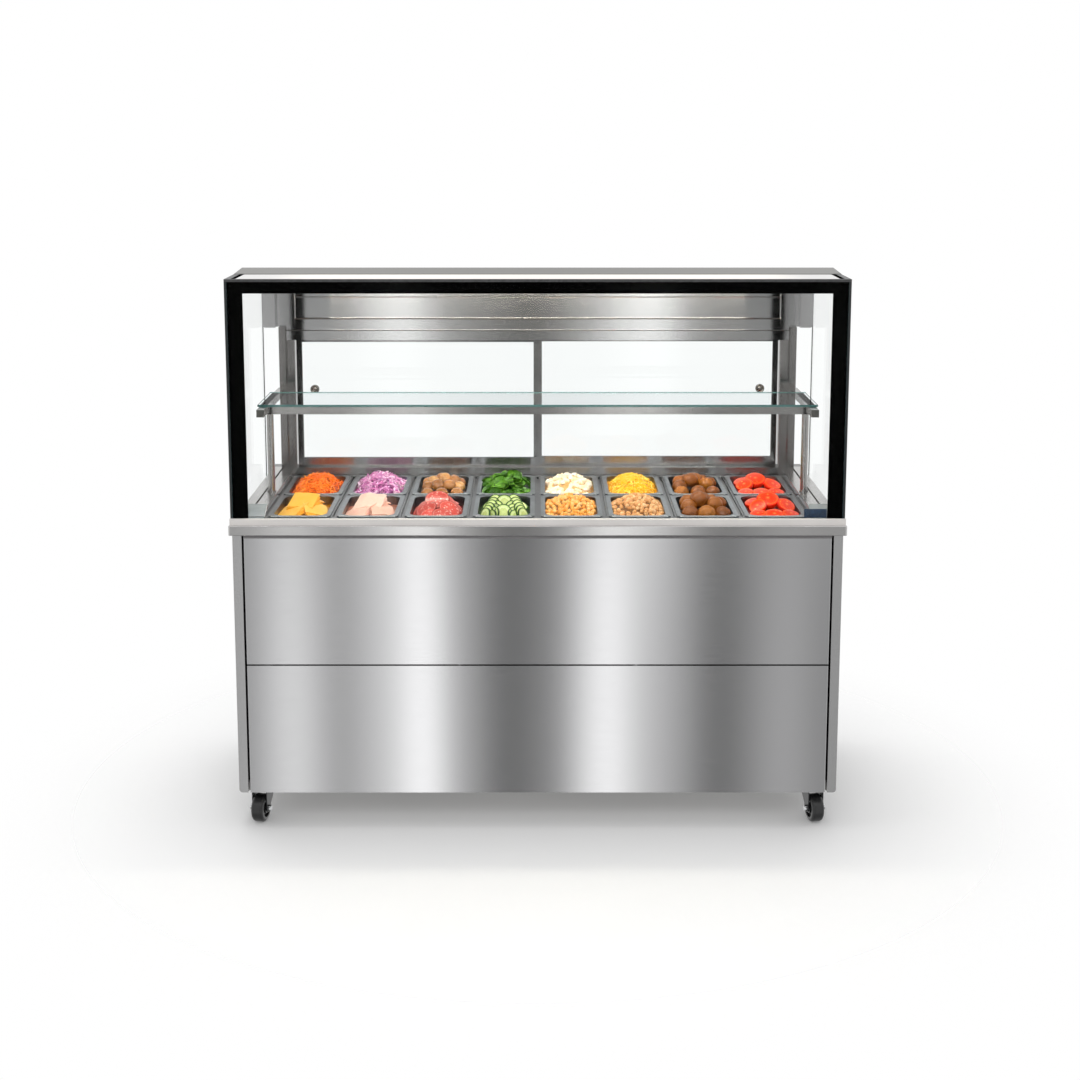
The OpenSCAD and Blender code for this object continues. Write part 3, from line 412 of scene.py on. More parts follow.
# Casters: enamelled forks, black with a soft clear shine on their edges
black_enamel = grained("black_enamel_casters", ("#17181A", "#242527"), 5, 0.34, coat=0.3)
# Nuts, bolts and screws: chrome plate, bright points with dark sides
chrome = grained("chrome_plated_nuts", ("#C8CACC", "#DEDFE0"), 8, 0.12, metallic=1.0)
# Wheels: moulded rubber, nearly black, with a worn soft shine on the tread
rubber = grained("grey_black_rubber_tyre", ("#161617", "#222223"), 2, 0.34, coat=0.25)
# Compressor: thick black enamel, glossy over a slightly wavy shell
machine_enamel = grained("black_enamel_compressor", ("#151516", "#202022"), 12, 0.30, coat=0.4)
# Condenser: thin rolled fins, a warm pale grey without an image
fin_metal = grained("rolled_aluminium_fins", ("#A8A39A", "#C0BAAE"), 5, 0.42, metallic=1.0)
# Evaporator: drawn tube, a warm orange metal that has begun to dull
copper = grained("drawn_copper_tube", ("#B06A45", "#C98259"), 10, 0.30, metallic=1.0)
# Fan: glass-filled moulding, an even dark matt grey
fan_plastic = grained("moulded_fan_plastic", ("#1C1D1F", "#27282A"), 4, 0.50)
# Switch: glossy black rocker with a fine moulded skin
switch_plastic = grained("moulded_switch_plastic", ("#0E0E0F", "#1A1A1B"), 3, 0.28)
# Printed borders: fired enamel behind glass, a black without any shine of its own
black_print = grained("fired_black_print", ("#020202", "#050505"), 4, 0.60, dent=0.02,
                      specular=0.0)
# Worktop strip: rubber, a soft mid grey line under the rim, painted shadow of the worktop edge
rim_shadow_strip = grained("grey_strip_painted_rim_shadow", ("#6A6869", "#7A7879"), 3, 0.55)
# Bare plate: dark blue enamel, smooth, with one soft light on it
blank_plate = grained("dark_blue_enamel_plate", ("#14293F", "#1B3450"), 9, 0.35)
print("metals, plastics and prints:", len(bpy.data.materials))

# %% [markdown]
# ## Glass
# The panes are float glass. A pane looks clear across its face, and deep green-blue along its
# polished edge, because there the light has come a long way through the glass. One material
# does both: it asks which way the surface faces. Lamps shine through it, so it casts no shadow.

# %% Float glass
GLASS_IOR = 1.03  # float glass is 1.5; with it the side panes, seen edgeways, mirror the room


def float_glass(name, pane_axis, edge_colour, mirror, edge_through=0.45,
                tint=(0.985, 0.998, 0.994, 1)):
    """Clear across the faces square to pane_axis, tinted on the edges.

    mirror is the share of the light that a face of the pane sends back, from every side.
    """
    material, tree = new_material(name)
    normal = add_node(tree, "NewGeometry").outputs["True Normal"]
    parts = add_node(tree, "SeparateXYZ", inputs={"Vector": normal}).outputs[pane_axis]
    size = add_node(tree, "Math", {"operation": "ABSOLUTE"}, {0: parts}).outputs[0]
    is_pane = add_node(tree, "Math", {"operation": "GREATER_THAN"}, {0: size, 1: 0.7}).outputs[0]
    clear = add_node(tree, "BsdfPrincipled", inputs={
        "Base Color": tint, "Roughness": 0.0, "IOR": GLASS_IOR,
        "Transmission Weight": 1.0}).outputs[0]
    gloss = add_node(tree, "BsdfAnisotropic", inputs={"Roughness": 0.02}).outputs[0]
    pane = add_node(tree, "MixShader", inputs={0: mirror, 1: clear, 2: gloss}).outputs[0]
    edge = add_node(tree, "BsdfPrincipled", inputs={
        "Base Color": linear(edge_colour), "Roughness": 0.12, "IOR": 1.5,
        "Transmission Weight": edge_through}).outputs[0]
    whole = add_node(tree, "MixShader", inputs={0: is_pane, 1: edge, 2: pane}).outputs[0]
    lamps = add_node(tree, "BsdfTransparent",
                     inputs={"Color": (0.95, 0.98, 0.97, 1)}).outputs[0]
    is_lamp = add_node(tree, "LightPath").outputs["Is Shadow Ray"]
    shader = add_node(tree, "MixShader", inputs={0: is_lamp, 1: whole, 2: lamps}).outputs[0]
    add_node(tree, "OutputMaterial", inputs={"Surface": shader})
    return material


# %% The glass of each pane
# Front pane: as good as invisible, apart from its blue-green lower edge
front_glass = float_glass("float_glass_front", "Y", "#7FA6AC", 0.002)
# Side panes: clear, with a dark ground edge where they meet the print
side_glass = float_glass("float_glass_sides", "X", "#2A2E2F", 0.01, 0.0, (0.997, 1, 0.999, 1))
# Shelf: faintly blue-grey across, with a strong green front edge and a soft image
shelf_glass = float_glass("float_glass_shelf", "Z", "#5F8C8A", 0.03,
                          tint=(0.90, 0.925, 0.935, 1))
# Door panes: clear, with a little more shine than the front pane
door_glass = float_glass("float_glass_doors", "Y", "#6F9A98", 0.02)
print("glass finishes:", [m.name for m in bpy.data.materials if "float_glass" in m.name])

# %% [markdown]
# ## Opal glass and the light bar
# The roof pane is opal, pale grey at both ends. Its soft warm glow in the middle is painted
# light: an emission worked out from the distance to the middle of the pane, which stands for the
# warm light bar that hangs just behind it. Lamps shine through it and light the food from above.
# The light bar has an opal cover with a warm lamp in it.

# %% Opal glass
PAINTED_GLOW_REACH = (0.56, 0.72)  # the distances from the middle over which the glow fades out
ROOF_PAINTED_GLOW, COVER_GLOW = 0.25, 3.0
CLOUD_IN_OPAL = 150 * MM   # size of the faint clouds in the milk of the glass
CLOUD_IN_COVER = 40 * MM

# Roof pane: milk-white glass, dim at both ends, with a painted glow where the light bar is behind
# it
opal_roof, tree = new_material("opal_glass_roof_painted_glow")
place = add_node(tree, "TexCoord").outputs["Object"]
cloudy = add_node(tree, "TexNoise", inputs={
    "Vector": place, "Scale": 1 / CLOUD_IN_OPAL}).outputs[0]
milk = add_node(tree, "Mix", {"data_type": "RGBA"}, {
    0: cloudy, 6: linear("#C9C8C7"), 7: linear("#CFCECD")}).outputs[2]
split = add_node(tree, "SeparateXYZ", inputs={"Vector": place})
aside = add_node(tree, "Math", {"operation": "ABSOLUTE"}, {0: split.outputs["X"]}).outputs[0]
# Painted glow: an emission that fades out with the distance from the middle of the pane
painted_glow = add_node(tree, "MapRange", {"interpolation_type": "SMOOTHSTEP"}, {
    "Value": aside, "From Min": PAINTED_GLOW_REACH[0], "From Max": PAINTED_GLOW_REACH[1], "To Min": 1.0,
    "To Max": 0.0}).outputs[0]
painted_glow_colour = add_node(tree, "VectorMath", {"operation": "SCALE"},
                       {0: linear("#FFEFD2")[:3], "Scale": painted_glow}).outputs[0]
opal = add_node(tree, "BsdfPrincipled", inputs={
    "Base Color": milk, "Roughness": 0.35, "Specular IOR Level": 0.2,
    "Emission Color": painted_glow_colour, "Emission Strength": ROOF_PAINTED_GLOW}).outputs[0]
lamps = add_node(tree, "BsdfTransparent", inputs={"Color": (0.72, 0.72, 0.70, 1)}).outputs[0]
is_lamp = add_node(tree, "LightPath").outputs["Is Shadow Ray"]
shader = add_node(tree, "MixShader", inputs={0: is_lamp, 1: opal, 2: lamps}).outputs[0]
add_node(tree, "OutputMaterial", inputs={"Surface": shader})
print("the roof pane glows to", PAINTED_GLOW_REACH, "metres from its middle")

# %% Cover of the light bar
# Light bar: an extruded opal cover, the brightest and warmest thing in the canopy
opal_cover, tree = new_material("opal_light_cover")
place = add_node(tree, "TexCoord").outputs["Object"]
patches = add_node(tree, "TexNoise", inputs={
    "Vector": place, "Scale": 1 / CLOUD_IN_COVER}).outputs[0]
warm = add_node(tree, "Mix", {"data_type": "RGBA"}, {
    0: patches, 6: linear("#FFF1D6"), 7: linear("#FFF8EA")}).outputs[2]
shader = add_node(tree, "BsdfPrincipled", inputs={
    "Base Color": warm, "Roughness": 0.5, "Emission Color": linear("#FFF0D2"),
    "Emission Strength": COVER_GLOW}).outputs[0]
add_node(tree, "OutputMaterial", inputs={"Surface": shader})
print("all finishes of the CAD nodes:", len(bpy.data.materials))

# %% [markdown]
# ## Give every CAD node its finish
# Each node keeps its shape and gets one material. The direction of the brushing follows how
# the sheet would be cut: along the long side of a rail, and upright on a post.

# %% Which node has which finish
PAN_ROWS = ("front", "rear")
PAN_COLUMNS = 8
CASTERS = [f"{end}_{side}" for end in ("front", "rear") for side in ("left", "right")]
FINISHES = {
    panel_steel: ["front_panel_upper", "front_panel_lower"],
    side_steel: ["side_panel_left", "side_panel_right", "machine_panel", "rear_frame",
                 "cupboard_door_left", "cupboard_door_right"],
    worktop_steel: ["worktop"],
    sill_steel_painted_shade: ["rear_sill"],
    upright_steel: ["uprights"],
    header_steel: ["header_box"],
    door_steel: ["sliding_frame_left", "sliding_frame_right"],
    ledge_steel: ["side_ledges"],
    rack_steel_painted_shade: ["pan_rack"],
    inner_steel: ["well_liner", "base_tray"],
    roof_steel: ["roof_cover"],
    pale_steel: ["glass_ledge"],
    shelf_steel: ["shelf_frame"],
    front_glass: ["front_glass"],
    side_glass: ["side_glasses"],
    opal_roof: ["roof_glass"],
    shelf_glass: ["shelf_glass"],
    door_glass: ["sliding_glass_left", "sliding_glass_right"],
    opal_cover: ["led_bar"],
    dark_trim: ["roof_trim"],
    end_cap_plastic: ["tube_end_caps"],
    machine_enamel: ["compressor"],
    fin_metal: ["condenser"],
    copper: ["evaporator_tube"],
    fan_plastic: ["fan"],
    switch_plastic: ["rocker_switch"],
    black_enamel: ["caster_plates"] + [f"caster_fork_{c}" for c in CASTERS],
    rubber: [f"wheel_{c}" for c in CASTERS],
    pan_steel_painted_shade: [f"pan_{row}_{i + 1}" for row in PAN_ROWS for i in range(PAN_COLUMNS)],
}
print("finishes in use:", len(FINISHES))

# %% Finish the CAD nodes
for material, names in FINISHES.items():
    for name in names:
        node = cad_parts[name]
        if not node.material_slots:
            node.data.materials.append(material)
        for slot in node.material_slots:
            slot.material = material
unfinished = set(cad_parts) - {n for names in FINISHES.values() for n in names}
print("finished nodes:", len(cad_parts) - len(unfinished), "left:", sorted(unfinished))

# %% [markdown]
# ## A helper for new pieces
# A new piece is a mesh whose vertices are already in place, riding on the body that carries it.
# It is shaded smooth, except where two faces meet at more than an angle.

# %% Piece helper
SHARP_DEG = 40


def make_piece(name, bm, materials, body):
    """Turns a bmesh into a piece that rides on a body."""
    mesh = bpy.data.meshes.new(name)
    bm.to_mesh(mesh)
    bm.free()
    for material in materials:
        mesh.materials.append(material)
    mesh.shade_smooth()
    mesh.set_sharp_from_angle(angle=math.radians(SHARP_DEG))
    piece = bpy.data.objects.new(name, mesh)
    scene.collection.objects.link(piece)
    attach(piece, body)
    return piece


def edge_bevel(bm, edges, width, segments=2):
    """Rounds the given edges."""
    bmesh.ops.bevel(bm, geom=list(edges), offset=width, offset_type="OFFSET", affect="EDGES",
                    segments=segments, profile=0.5, material=-1)


# %% [markdown]
# ## The printed border of the front glass
# A canopy pane has a black ceramic border fired on its inner face, which hides the glue to the
# side panes. It is an arch: two stripes and a top band. A grid of three columns and two rows
# with the lower middle cell taken out is that arch; its rows and columns are then moved to
# where the photograph has the edges, and the sheet is given the thickness of a print.

# %% Printed border
BORDER_SIDE = 754 * MM     # half the clear width between the stripes
BORDER_TOP = 1434 * MM     # lower edge of the top band
PRINT_THICK = 0.4 * MM
low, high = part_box("front_glass")
columns = (low.x, -BORDER_SIDE, BORDER_SIDE, high.x)
rows = (low.z, BORDER_TOP, high.z)

bm = bmesh.new()
bmesh.ops.create_grid(bm, x_segments=3, y_segments=2, size=1.0)
for face in list(bm.faces):
    centre = face.calc_center_median()
    if abs(centre.x) < 0.3 and centre.y < 0:
        bmesh.ops.delete(bm, geom=[face], context="FACES")
for vertex in bm.verts:
    column = round((vertex.co.x + 1) * 1.5)
    row = round(vertex.co.y + 1)
    vertex.co = (columns[column], high.y + 0.05 * MM, rows[row])
bmesh.ops.recalc_face_normals(bm, faces=bm.faces)
raised = bmesh.ops.extrude_face_region(bm, geom=bm.faces[:], use_keep_orig=True)
bmesh.ops.translate(bm, vec=(0, PRINT_THICK, 0),
                    verts=[g for g in raised["geom"] if isinstance(g, bmesh.types.BMVert)])
bmesh.ops.recalc_face_normals(bm, faces=bm.faces)
border = make_piece("front_glass_border", bm, [black_print], "cabinet")
print("border faces:", len(border.data.polygons))

# %% [markdown]
# ## Printed strips, a painted shadow and pan lips
# Three small things give the counter its lines. The roof pane has a printed strip along each
# short side, a mid grey strip under the edge of the worktop is painted shadow of its rim, and each
# pan has a rolled lip at its front, coloured near white as a painted highlight. All are bars with
# rounded edges, so one function makes them.

# %% Bars with rounded edges
def bar(bm, low, high, round_edge):
    """A bar between two corners, with rounded edges."""
    made = bmesh.ops.create_cube(bm, size=1.0)["verts"]
    bmesh.ops.scale(bm, vec=[b - a for a, b in zip(low, high)], verts=made)
    bmesh.ops.translate(bm, vec=[(a + b) / 2 for a, b in zip(low, high)], verts=made)
    edge_bevel(bm, {e for v in made for e in v.link_edges}, round_edge)


# %% Roof strips
ROOF_STRIP = 11 * MM
low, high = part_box("roof_glass")
bm = bmesh.new()
for near in (low.x, high.x - ROOF_STRIP):
    bar(bm, (near, low.y, high.z + 0.05 * MM), (near + ROOF_STRIP, high.y, high.z + 0.45 * MM),
        0.1 * MM)
make_piece("roof_glass_border", bm, [black_print], "cabinet")
print("roof strips, their width in mm:", ROOF_STRIP / MM)

# %% Painted shadow under the worktop
# A mid grey strip under the worktop edge: painted shadow of the rim
SHADOW_STRIP_TALL = 8.5 * MM
edge_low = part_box("worktop")[0]
low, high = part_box("front_panel_upper")
bm = bmesh.new()
bar(bm, (low.x, low.y - 1.2 * MM, edge_low.z - SHADOW_STRIP_TALL),
    (high.x, low.y - 0.05 * MM, edge_low.z), 0.4 * MM)
make_piece("worktop_rim_painted_shadow", bm, [rim_shadow_strip], "cabinet")
print("worktop edge over the panel in mm:", round((low.y - edge_low.y) / MM, 1))

# %% Pan lips
# Each lip is a near-white bar along the real rolled edge: a painted highlight
LIP_HALF = 73 * MM
for row in PAN_ROWS:
    for i in range(PAN_COLUMNS):
        pan = f"pan_{row}_{i + 1}"
        low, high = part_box(pan)
        middle = (low.x + high.x) / 2
        bm = bmesh.new()
        bar(bm, (middle - LIP_HALF, low.y + 0.3 * MM, high.z - 1.2 * MM),
            (middle + LIP_HALF, low.y + 4.3 * MM, high.z + 0.6 * MM), 0.55 * MM)
        make_piece(f"pan_lip_{row}_{i + 1}", bm, [lip_painted_highlight], pan)
print("pan lips:", len(PAN_ROWS) * PAN_COLUMNS)

# %% [markdown]
# ## The end caps of the side ledges
# Each side ledge is a folded box that slopes down to the foot of the front glass. A grey moulded
# cap closes that end, with an upright face and a sloping one. Bright steel would mirror the
# painted glow of the roof there as a white patch. Each face is a thin bar, and the second one is
# then tilted.

# %% Ledge end caps
CAP_X = (712 * MM, 773 * MM)
CAP_THICK = 0.8 * MM
CAP_ROUND = 0.25 * MM
CAP_TALL = 20 * MM
SLOPE_LONG = 50.8 * MM
SLOPE_MIDDLE = (22.3 * MM, 33.1 * MM)  # behind the front of the ledge, and over its foot
SLOPE_DEG = 27.55
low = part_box("side_ledges")[0]
bm = bmesh.new()
for near, far in (CAP_X, (-CAP_X[1], -CAP_X[0])):
    bar(bm, (near, low.y - 0.05 * MM - CAP_THICK, low.z),
        (far, low.y - 0.05 * MM, low.z + CAP_TALL), CAP_ROUND)
    before = set(bm.verts)
    bar(bm, (near, -SLOPE_LONG / 2, -CAP_THICK / 2), (far, SLOPE_LONG / 2, CAP_THICK / 2),
        CAP_ROUND)
    slope = [v for v in bm.verts if v not in before]
    bmesh.ops.rotate(bm, cent=(0, 0, 0), matrix=Matrix.Rotation(math.radians(SLOPE_DEG), 3, "X"),
                     verts=slope)
    bmesh.ops.translate(bm, vec=(0, low.y + SLOPE_MIDDLE[0], low.z + SLOPE_MIDDLE[1]), verts=slope)
make_piece("ledge_end_caps", bm, [cap_grey], "cabinet")
print("ledge end caps from x in mm:", [round(x / MM) for x in CAP_X])

# %% [markdown]
# ## The bare plate on the glass
# At the right end of the ledge a small plate is fixed behind the glass. It is left bare: an
# enamelled strip with rounded corners and nothing on it.

# %% Bare plate
PLATE_X = (694 * MM, 753 * MM)
PLATE_Z = (848.6 * MM, 872 * MM)
PLATE_THICK = 1.0 * MM

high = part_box("front_glass")[1]
bm = bmesh.new()
bmesh.ops.create_cube(bm, size=1.0)
bmesh.ops.scale(bm, vec=(PLATE_X[1] - PLATE_X[0], PLATE_THICK, PLATE_Z[1] - PLATE_Z[0]),
                verts=bm.verts)
bmesh.ops.translate(bm, vec=(sum(PLATE_X) / 2, high.y + PLATE_THICK / 2 + 0.05 * MM,
                             sum(PLATE_Z) / 2), verts=bm.verts)
edge_bevel(bm, [e for e in bm.edges if abs((e.verts[0].co - e.verts[1].co).y) > PLATE_THICK / 2],
           2 * MM, 4)
edge_bevel(bm, [e for e in bm.edges if e.calc_face_angle(0) > 1.2], 0.2 * MM, 2)
make_piece("blank_plate", bm, [blank_plate], "cabinet")
print("bare plate on the front glass, its place in mm:", [round(x / MM) for x in PLATE_X])

# %% [markdown]
# ## Fasteners
# Each caster hangs from its plate by four bolts, and its axle is held by a domed nut at each
# end. Screws hold the louvred service panel. All are turned parts: a disc or a six-sided bar
# with its end drawn in to a dome, so one function makes them from a short cylinder.

# %% One fastener
def fastener(bm, place, axis, radius, height, sides, dome):
    """Adds a head at a place, standing along axis; dome is how much its end is drawn in."""
    made = bmesh.ops.create_cone(bm, cap_ends=True, segments=sides, radius1=radius,
                                 radius2=radius, depth=height)["verts"]
    bmesh.ops.translate(bm, vec=(0, 0, height / 2), verts=made)
    top = [f for f in {f for v in made for f in v.link_faces}
           if f.calc_center_median().z > height * 0.9]
    grown = bmesh.ops.inset_region(bm, faces=top, thickness=radius * dome, depth=height * dome)
    ring = {v for f in grown["faces"] for v in f.verts} | {v for f in top for v in f.verts}
    verts = list(set(made) | ring)
    turn = Vector((0, 0, 1)).rotation_difference(Vector(axis)).to_matrix().to_4x4()
    bmesh.ops.transform(bm, matrix=Matrix.Translation(place) @ turn, verts=verts)


# %% Service panel screws
SCREW_X = (335, 757)
SCREW_Z = (146, 300, 455, 610, 754)
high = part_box("machine_panel")[1]
bm = bmesh.new()
for x in SCREW_X:
    for z in SCREW_Z:
        fastener(bm, (x * MM, high.y - 1.2 * MM, z * MM), (0, 1, 0), 3.6 * MM, 0.9 * MM, 16, 0.3)
bmesh.ops.recalc_face_normals(bm, faces=bm.faces)
make_piece("service_panel_screws", bm, [chrome], "cabinet")
print("screws in the service panel:", len(SCREW_X) * len(SCREW_Z))

# %% Caster bolts and nuts
CASTER_PLACE = (742, 263)       # swivel axis, from the middle of the counter
CASTER_YAW_DEG = 12
AXLE = (-28, 38, 21.6)          # trail, height, and where the nuts of the fork start
PLATE_BOLTS = [(dx, dy) for dx in (-33, 33) for dy in (-27, 27)]
for name in CASTERS:
    side = -1 if name.endswith("left") else 1
    end = -1 if name.startswith("front") else 1
    centre = Vector((side * CASTER_PLACE[0] * MM, end * CASTER_PLACE[1] * MM, 0))
    bm = bmesh.new()
    for dx, dy in PLATE_BOLTS:
        fastener(bm, centre + Vector((dx * MM, dy * MM, 97.0 * MM)), (0, 0, -1), 4.5 * MM,
                 3.2 * MM, 6, 0.15)
    bmesh.ops.recalc_face_normals(bm, faces=bm.faces)
    make_piece(f"plate_bolts_{name}", bm, [chrome], "cabinet")
    yaw = Matrix.Rotation(math.radians(side * CASTER_YAW_DEG), 3, "Z")
    bm = bmesh.new()
    for way in (-1, 1):
        place = centre + yaw @ Vector((way * AXLE[2] * MM, AXLE[0] * MM, AXLE[1] * MM))
        fastener(bm, place, yaw @ Vector((way, 0, 0)), 8.6 * MM, 6.6 * MM, 6, 0.18)
    bmesh.ops.recalc_face_normals(bm, faces=bm.faces)
    make_piece(f"axle_nuts_{name}", bm, [chrome], f"fork_{name}")
print("casters with bolts and nuts:", len(CASTERS))

# %% [markdown]
# ## Door pulls
# Each sliding door has a small turned pull clamped in its glass. The customer sees its dark
# front: a ring round a low dome. It is a profile spun round an axis, which gives a clean round
# edge that catches the light, and it rides on the door.

# %% Door pulls
PULL_PROFILE = ((0, 3.2), (3.5, 3.0), (6.6, 2.0), (7.6, 1.2), (8.6, 2.4), (10.6, 2.9), (12.2, 2.2),
                (12.9, 0.8), (12.9, -0.6), (0, -0.6))
PULL_PLACES = {"sliding_door_left": (-650, 257, 1098), "sliding_door_right": (650, 274, 1098)}
for body, place in PULL_PLACES.items():
    bm = bmesh.new()
    line = [bm.verts.new((radius * MM, 0, z * MM)) for radius, z in PULL_PROFILE]
    sides = [bm.edges.new(pair) for pair in zip(line, line[1:])]
    bmesh.ops.spin(bm, geom=line + sides, cent=(0, 0, 0), axis=(0, 0, 1), angle=math.tau,
                   steps=40, use_merge=True)
    bmesh.ops.remove_doubles(bm, verts=bm.verts, dist=0.001 * MM)
    bmesh.ops.recalc_face_normals(bm, faces=bm.faces)
    to_customer = Matrix.Rotation(math.radians(90), 4, "X")
    bmesh.ops.transform(bm, matrix=Matrix.Translation([c * MM for c in place]) @ to_customer,
                        verts=bm.verts)
    make_piece(f"pull_front_{body}", bm, [pull_metal], body)
print("door pulls:", len(PULL_PLACES))


# %% [markdown]
# ## Food: what the sixteen pans share
# A pan of cut food is a mound: highest a little behind the middle, and just under the rim at
# the walls. Only its top is seen, so each pan gets a closed filling with a lumpy top, and over
# it a layer of single pieces. One piece is made as a template, copied with
# bmesh.ops.duplicate, and set down on the slope of the mound. Every copy gets a random tone,
# and a template writes its own coordinates into the mesh, for the materials to read.

# %% The mouth and the inside of a pan
CLEAR = (70 * MM, 120 * MM)   # half the width and length of the mouth of a pan
CORNER = 27 * MM
WALLS = ((64 * MM, 115.5 * MM, -28 * MM), (64 * MM, 115.5 * MM, -89 * MM),
         (55.5 * MM, 106.5 * MM, -98 * MM))  # half sizes of the filling, and depth under the rim
CREST = 12 * MM               # how far the top of a mound lies behind the middle
print("mouth of a pan in mm:", [round(2 * c / MM) for c in CLEAR])


# %% Mound of food
def inside(x, y, margin=0.0):
    """Whether a place lies over the mouth of the pan, clear of its wall."""
    dx, dy = abs(x) - CLEAR[0] + CORNER, abs(y) - CLEAR[1] + CORNER
    reach = math.hypot(dx, dy) if min(dx, dy) > 0 else max(dx, dy)
    return reach < CORNER - margin


def mound(peak, edge):
    """A function for the height of the food over the rim; its top and its edge are in mm."""
    def height(x, y):
        out = min(1.0, math.hypot(x / CLEAR[0], (y - CREST) / CLEAR[1]))
        return (edge + (peak - edge) * (1 - out ** 2)) * MM
    return height


def fill(height, lump, grain):
    """A closed filling of a pan, with lumps of the given height and width in mm on its top."""
    bm = bmesh.new()
    bm.verts.layers.float.new("tone")
    bm.verts.layers.float_vector.new("local")
    top = bmesh.ops.create_grid(bm, x_segments=28, y_segments=46, size=1.0)["verts"]
    for vertex in top:
        x, y = vertex.co.x * CLEAR[0], vertex.co.y * CLEAR[1]
        dx, dy = abs(x) - CLEAR[0] + CORNER, abs(y) - CLEAR[1] + CORNER
        if min(dx, dy) > 0:  # draw a square corner in to a round one
            inwards = 1 - max(dx, dy) / math.hypot(dx, dy)
            x -= math.copysign(dx * inwards, x)
            y -= math.copysign(dy * inwards, y)
        bump = noise.noise(Vector((x, y, 0)) / (grain * MM))
        vertex.co = (x, y, height(x, y) + lump * MM * bump)
    edges = [e for e in bm.edges if e.is_boundary]
    half = CLEAR
    for half_x, half_y, depth in WALLS:
        drawn = bmesh.ops.extrude_edge_only(bm, edges=edges)["geom"]
        ring = [g for g in drawn if isinstance(g, bmesh.types.BMVert)]
        edges = [g for g in drawn if isinstance(g, bmesh.types.BMEdge) and g.is_boundary]
        bmesh.ops.scale(bm, vec=(half_x / half[0], half_y / half[1], 1), verts=ring)
        for vertex in ring:
            vertex.co.z = depth
        half = (half_x, half_y)
    bmesh.ops.edgeloop_fill(bm, edges=edges)
    bmesh.ops.recalc_face_normals(bm, faces=bm.faces)
    return bm


# %% [markdown]
# Templates come in three kinds: a slab (a grid laid out by a function, with a thickness), a
# turned shape (a profile spun round), and a ball. Each is made at the origin, in millimetres.

# %% Templates of single pieces
def template(bm, verts, size):
    """Closes a template: its own coordinates, the second material, normals outwards."""
    local = bm.verts.layers.float_vector["local"]
    for vertex in verts:
        vertex[local] = vertex.co / (size * MM)
    edges = {e for v in verts for e in v.link_edges}
    faces = {f for v in verts for f in v.link_faces}
    for face in faces:
        face.material_index = 1
    bmesh.ops.recalc_face_normals(bm, faces=list(faces))
    return [*verts, *edges, *faces]


def slab(bm, cells, thick, shape, size=10.0):
    """A thin piece: a grid laid out by shape(a, b), with a thickness under it."""
    top = bmesh.ops.create_grid(bm, x_segments=cells[0], y_segments=cells[1], size=1.0)["verts"]
    for vertex in top:
        vertex.co = Vector(shape(vertex.co.x, vertex.co.y)) * MM
    faces = {f for v in top for f in v.link_faces}
    copy = bmesh.ops.extrude_face_region(bm, geom=list(faces), use_keep_orig=True)["geom"]
    under = [g for g in copy if isinstance(g, bmesh.types.BMVert)]
    bmesh.ops.translate(bm, vec=(0, 0, -thick * MM), verts=under)
    return template(bm, top + under, size)


def round_grid(a, b):
    """The place in a disc for a place in a square."""
    return a * math.sqrt(1 - b * b / 2), b * math.sqrt(1 - a * a / 2)


def shred(bm, length, width, thick, curl, sag):
    """A grated strip: curl bends it sideways and sag bends its ends down."""
    return slab(bm, (6, 1), thick, lambda a, b: (
        a * length / 2, b * width / 2 + curl * a * a, -sag * a * a))


def turned(bm, profile, steps, size):
    """A shape turned from a profile of radius and height, both ends on the axis."""
    before = set(bm.verts)
    line = [bm.verts.new((radius * MM, 0, z * MM)) for radius, z in profile]
    sides = [bm.edges.new(pair) for pair in zip(line, line[1:])]
    bmesh.ops.spin(bm, geom=line + sides, cent=(0, 0, 0), axis=(0, 0, 1), angle=math.tau,
                   steps=steps, use_merge=True)
    bmesh.ops.remove_doubles(bm, verts=[v for v in bm.verts if v not in before], dist=0.001 * MM)
    return template(bm, [v for v in bm.verts if v not in before], size)


def ball(bm, radii, subdivisions, dent=0.0, dent_size=6.0, seed=0.0):
    """A ball with its own three radii, dented by a noise."""
    verts = bmesh.ops.create_icosphere(bm, subdivisions=subdivisions, radius=1.0)["verts"]
    bmesh.ops.scale(bm, vec=[r * MM for r in radii], verts=verts)
    for vertex in verts:
        way = vertex.co.normalized()
        lump = noise.noise(vertex.co / (dent_size * MM) + Vector((seed, 0, 0)))
        vertex.co += way * dent * MM * lump
    return template(bm, verts, max(radii))


# %% [markdown]
# Pieces are strewn at random, or set down one by one where the photograph has them.

# %% Setting pieces down
def lie(height, x, y, lift=0.0, turn=0.0, lean=(0.0, 0.0)):
    """The matrix that lays a template on the mound: x, y and lift in mm, angles in degrees."""
    x, y, step = x * MM, y * MM, 2 * MM
    slope = Vector((height(x - step, y) - height(x + step, y),
                    height(x, y - step) - height(x, y + step), 2 * step))
    upright = Vector((0, 0, 1)).rotation_difference(slope).to_matrix().to_4x4()
    leaning = Euler([math.radians(a) for a in (*lean, 0)]).to_matrix().to_4x4()
    return (Matrix.Translation((x, y, height(x, y) + lift * MM)) @ upright @ leaning
            @ Matrix.Rotation(math.radians(turn), 4, "Z"))


def stand(x, y, z, turn=0.0, lean=(0.0, 0.0), scale=1.0):
    """The matrix that sets a template at a place over the rim, in mm."""
    leaning = Euler([math.radians(a) for a in (*lean, 0)]).to_matrix().to_4x4()
    return (Matrix.Translation((x * MM, y * MM, z * MM)) @ leaning
            @ Matrix.Rotation(math.radians(turn), 4, "Z") @ Matrix.Scale(scale, 4))


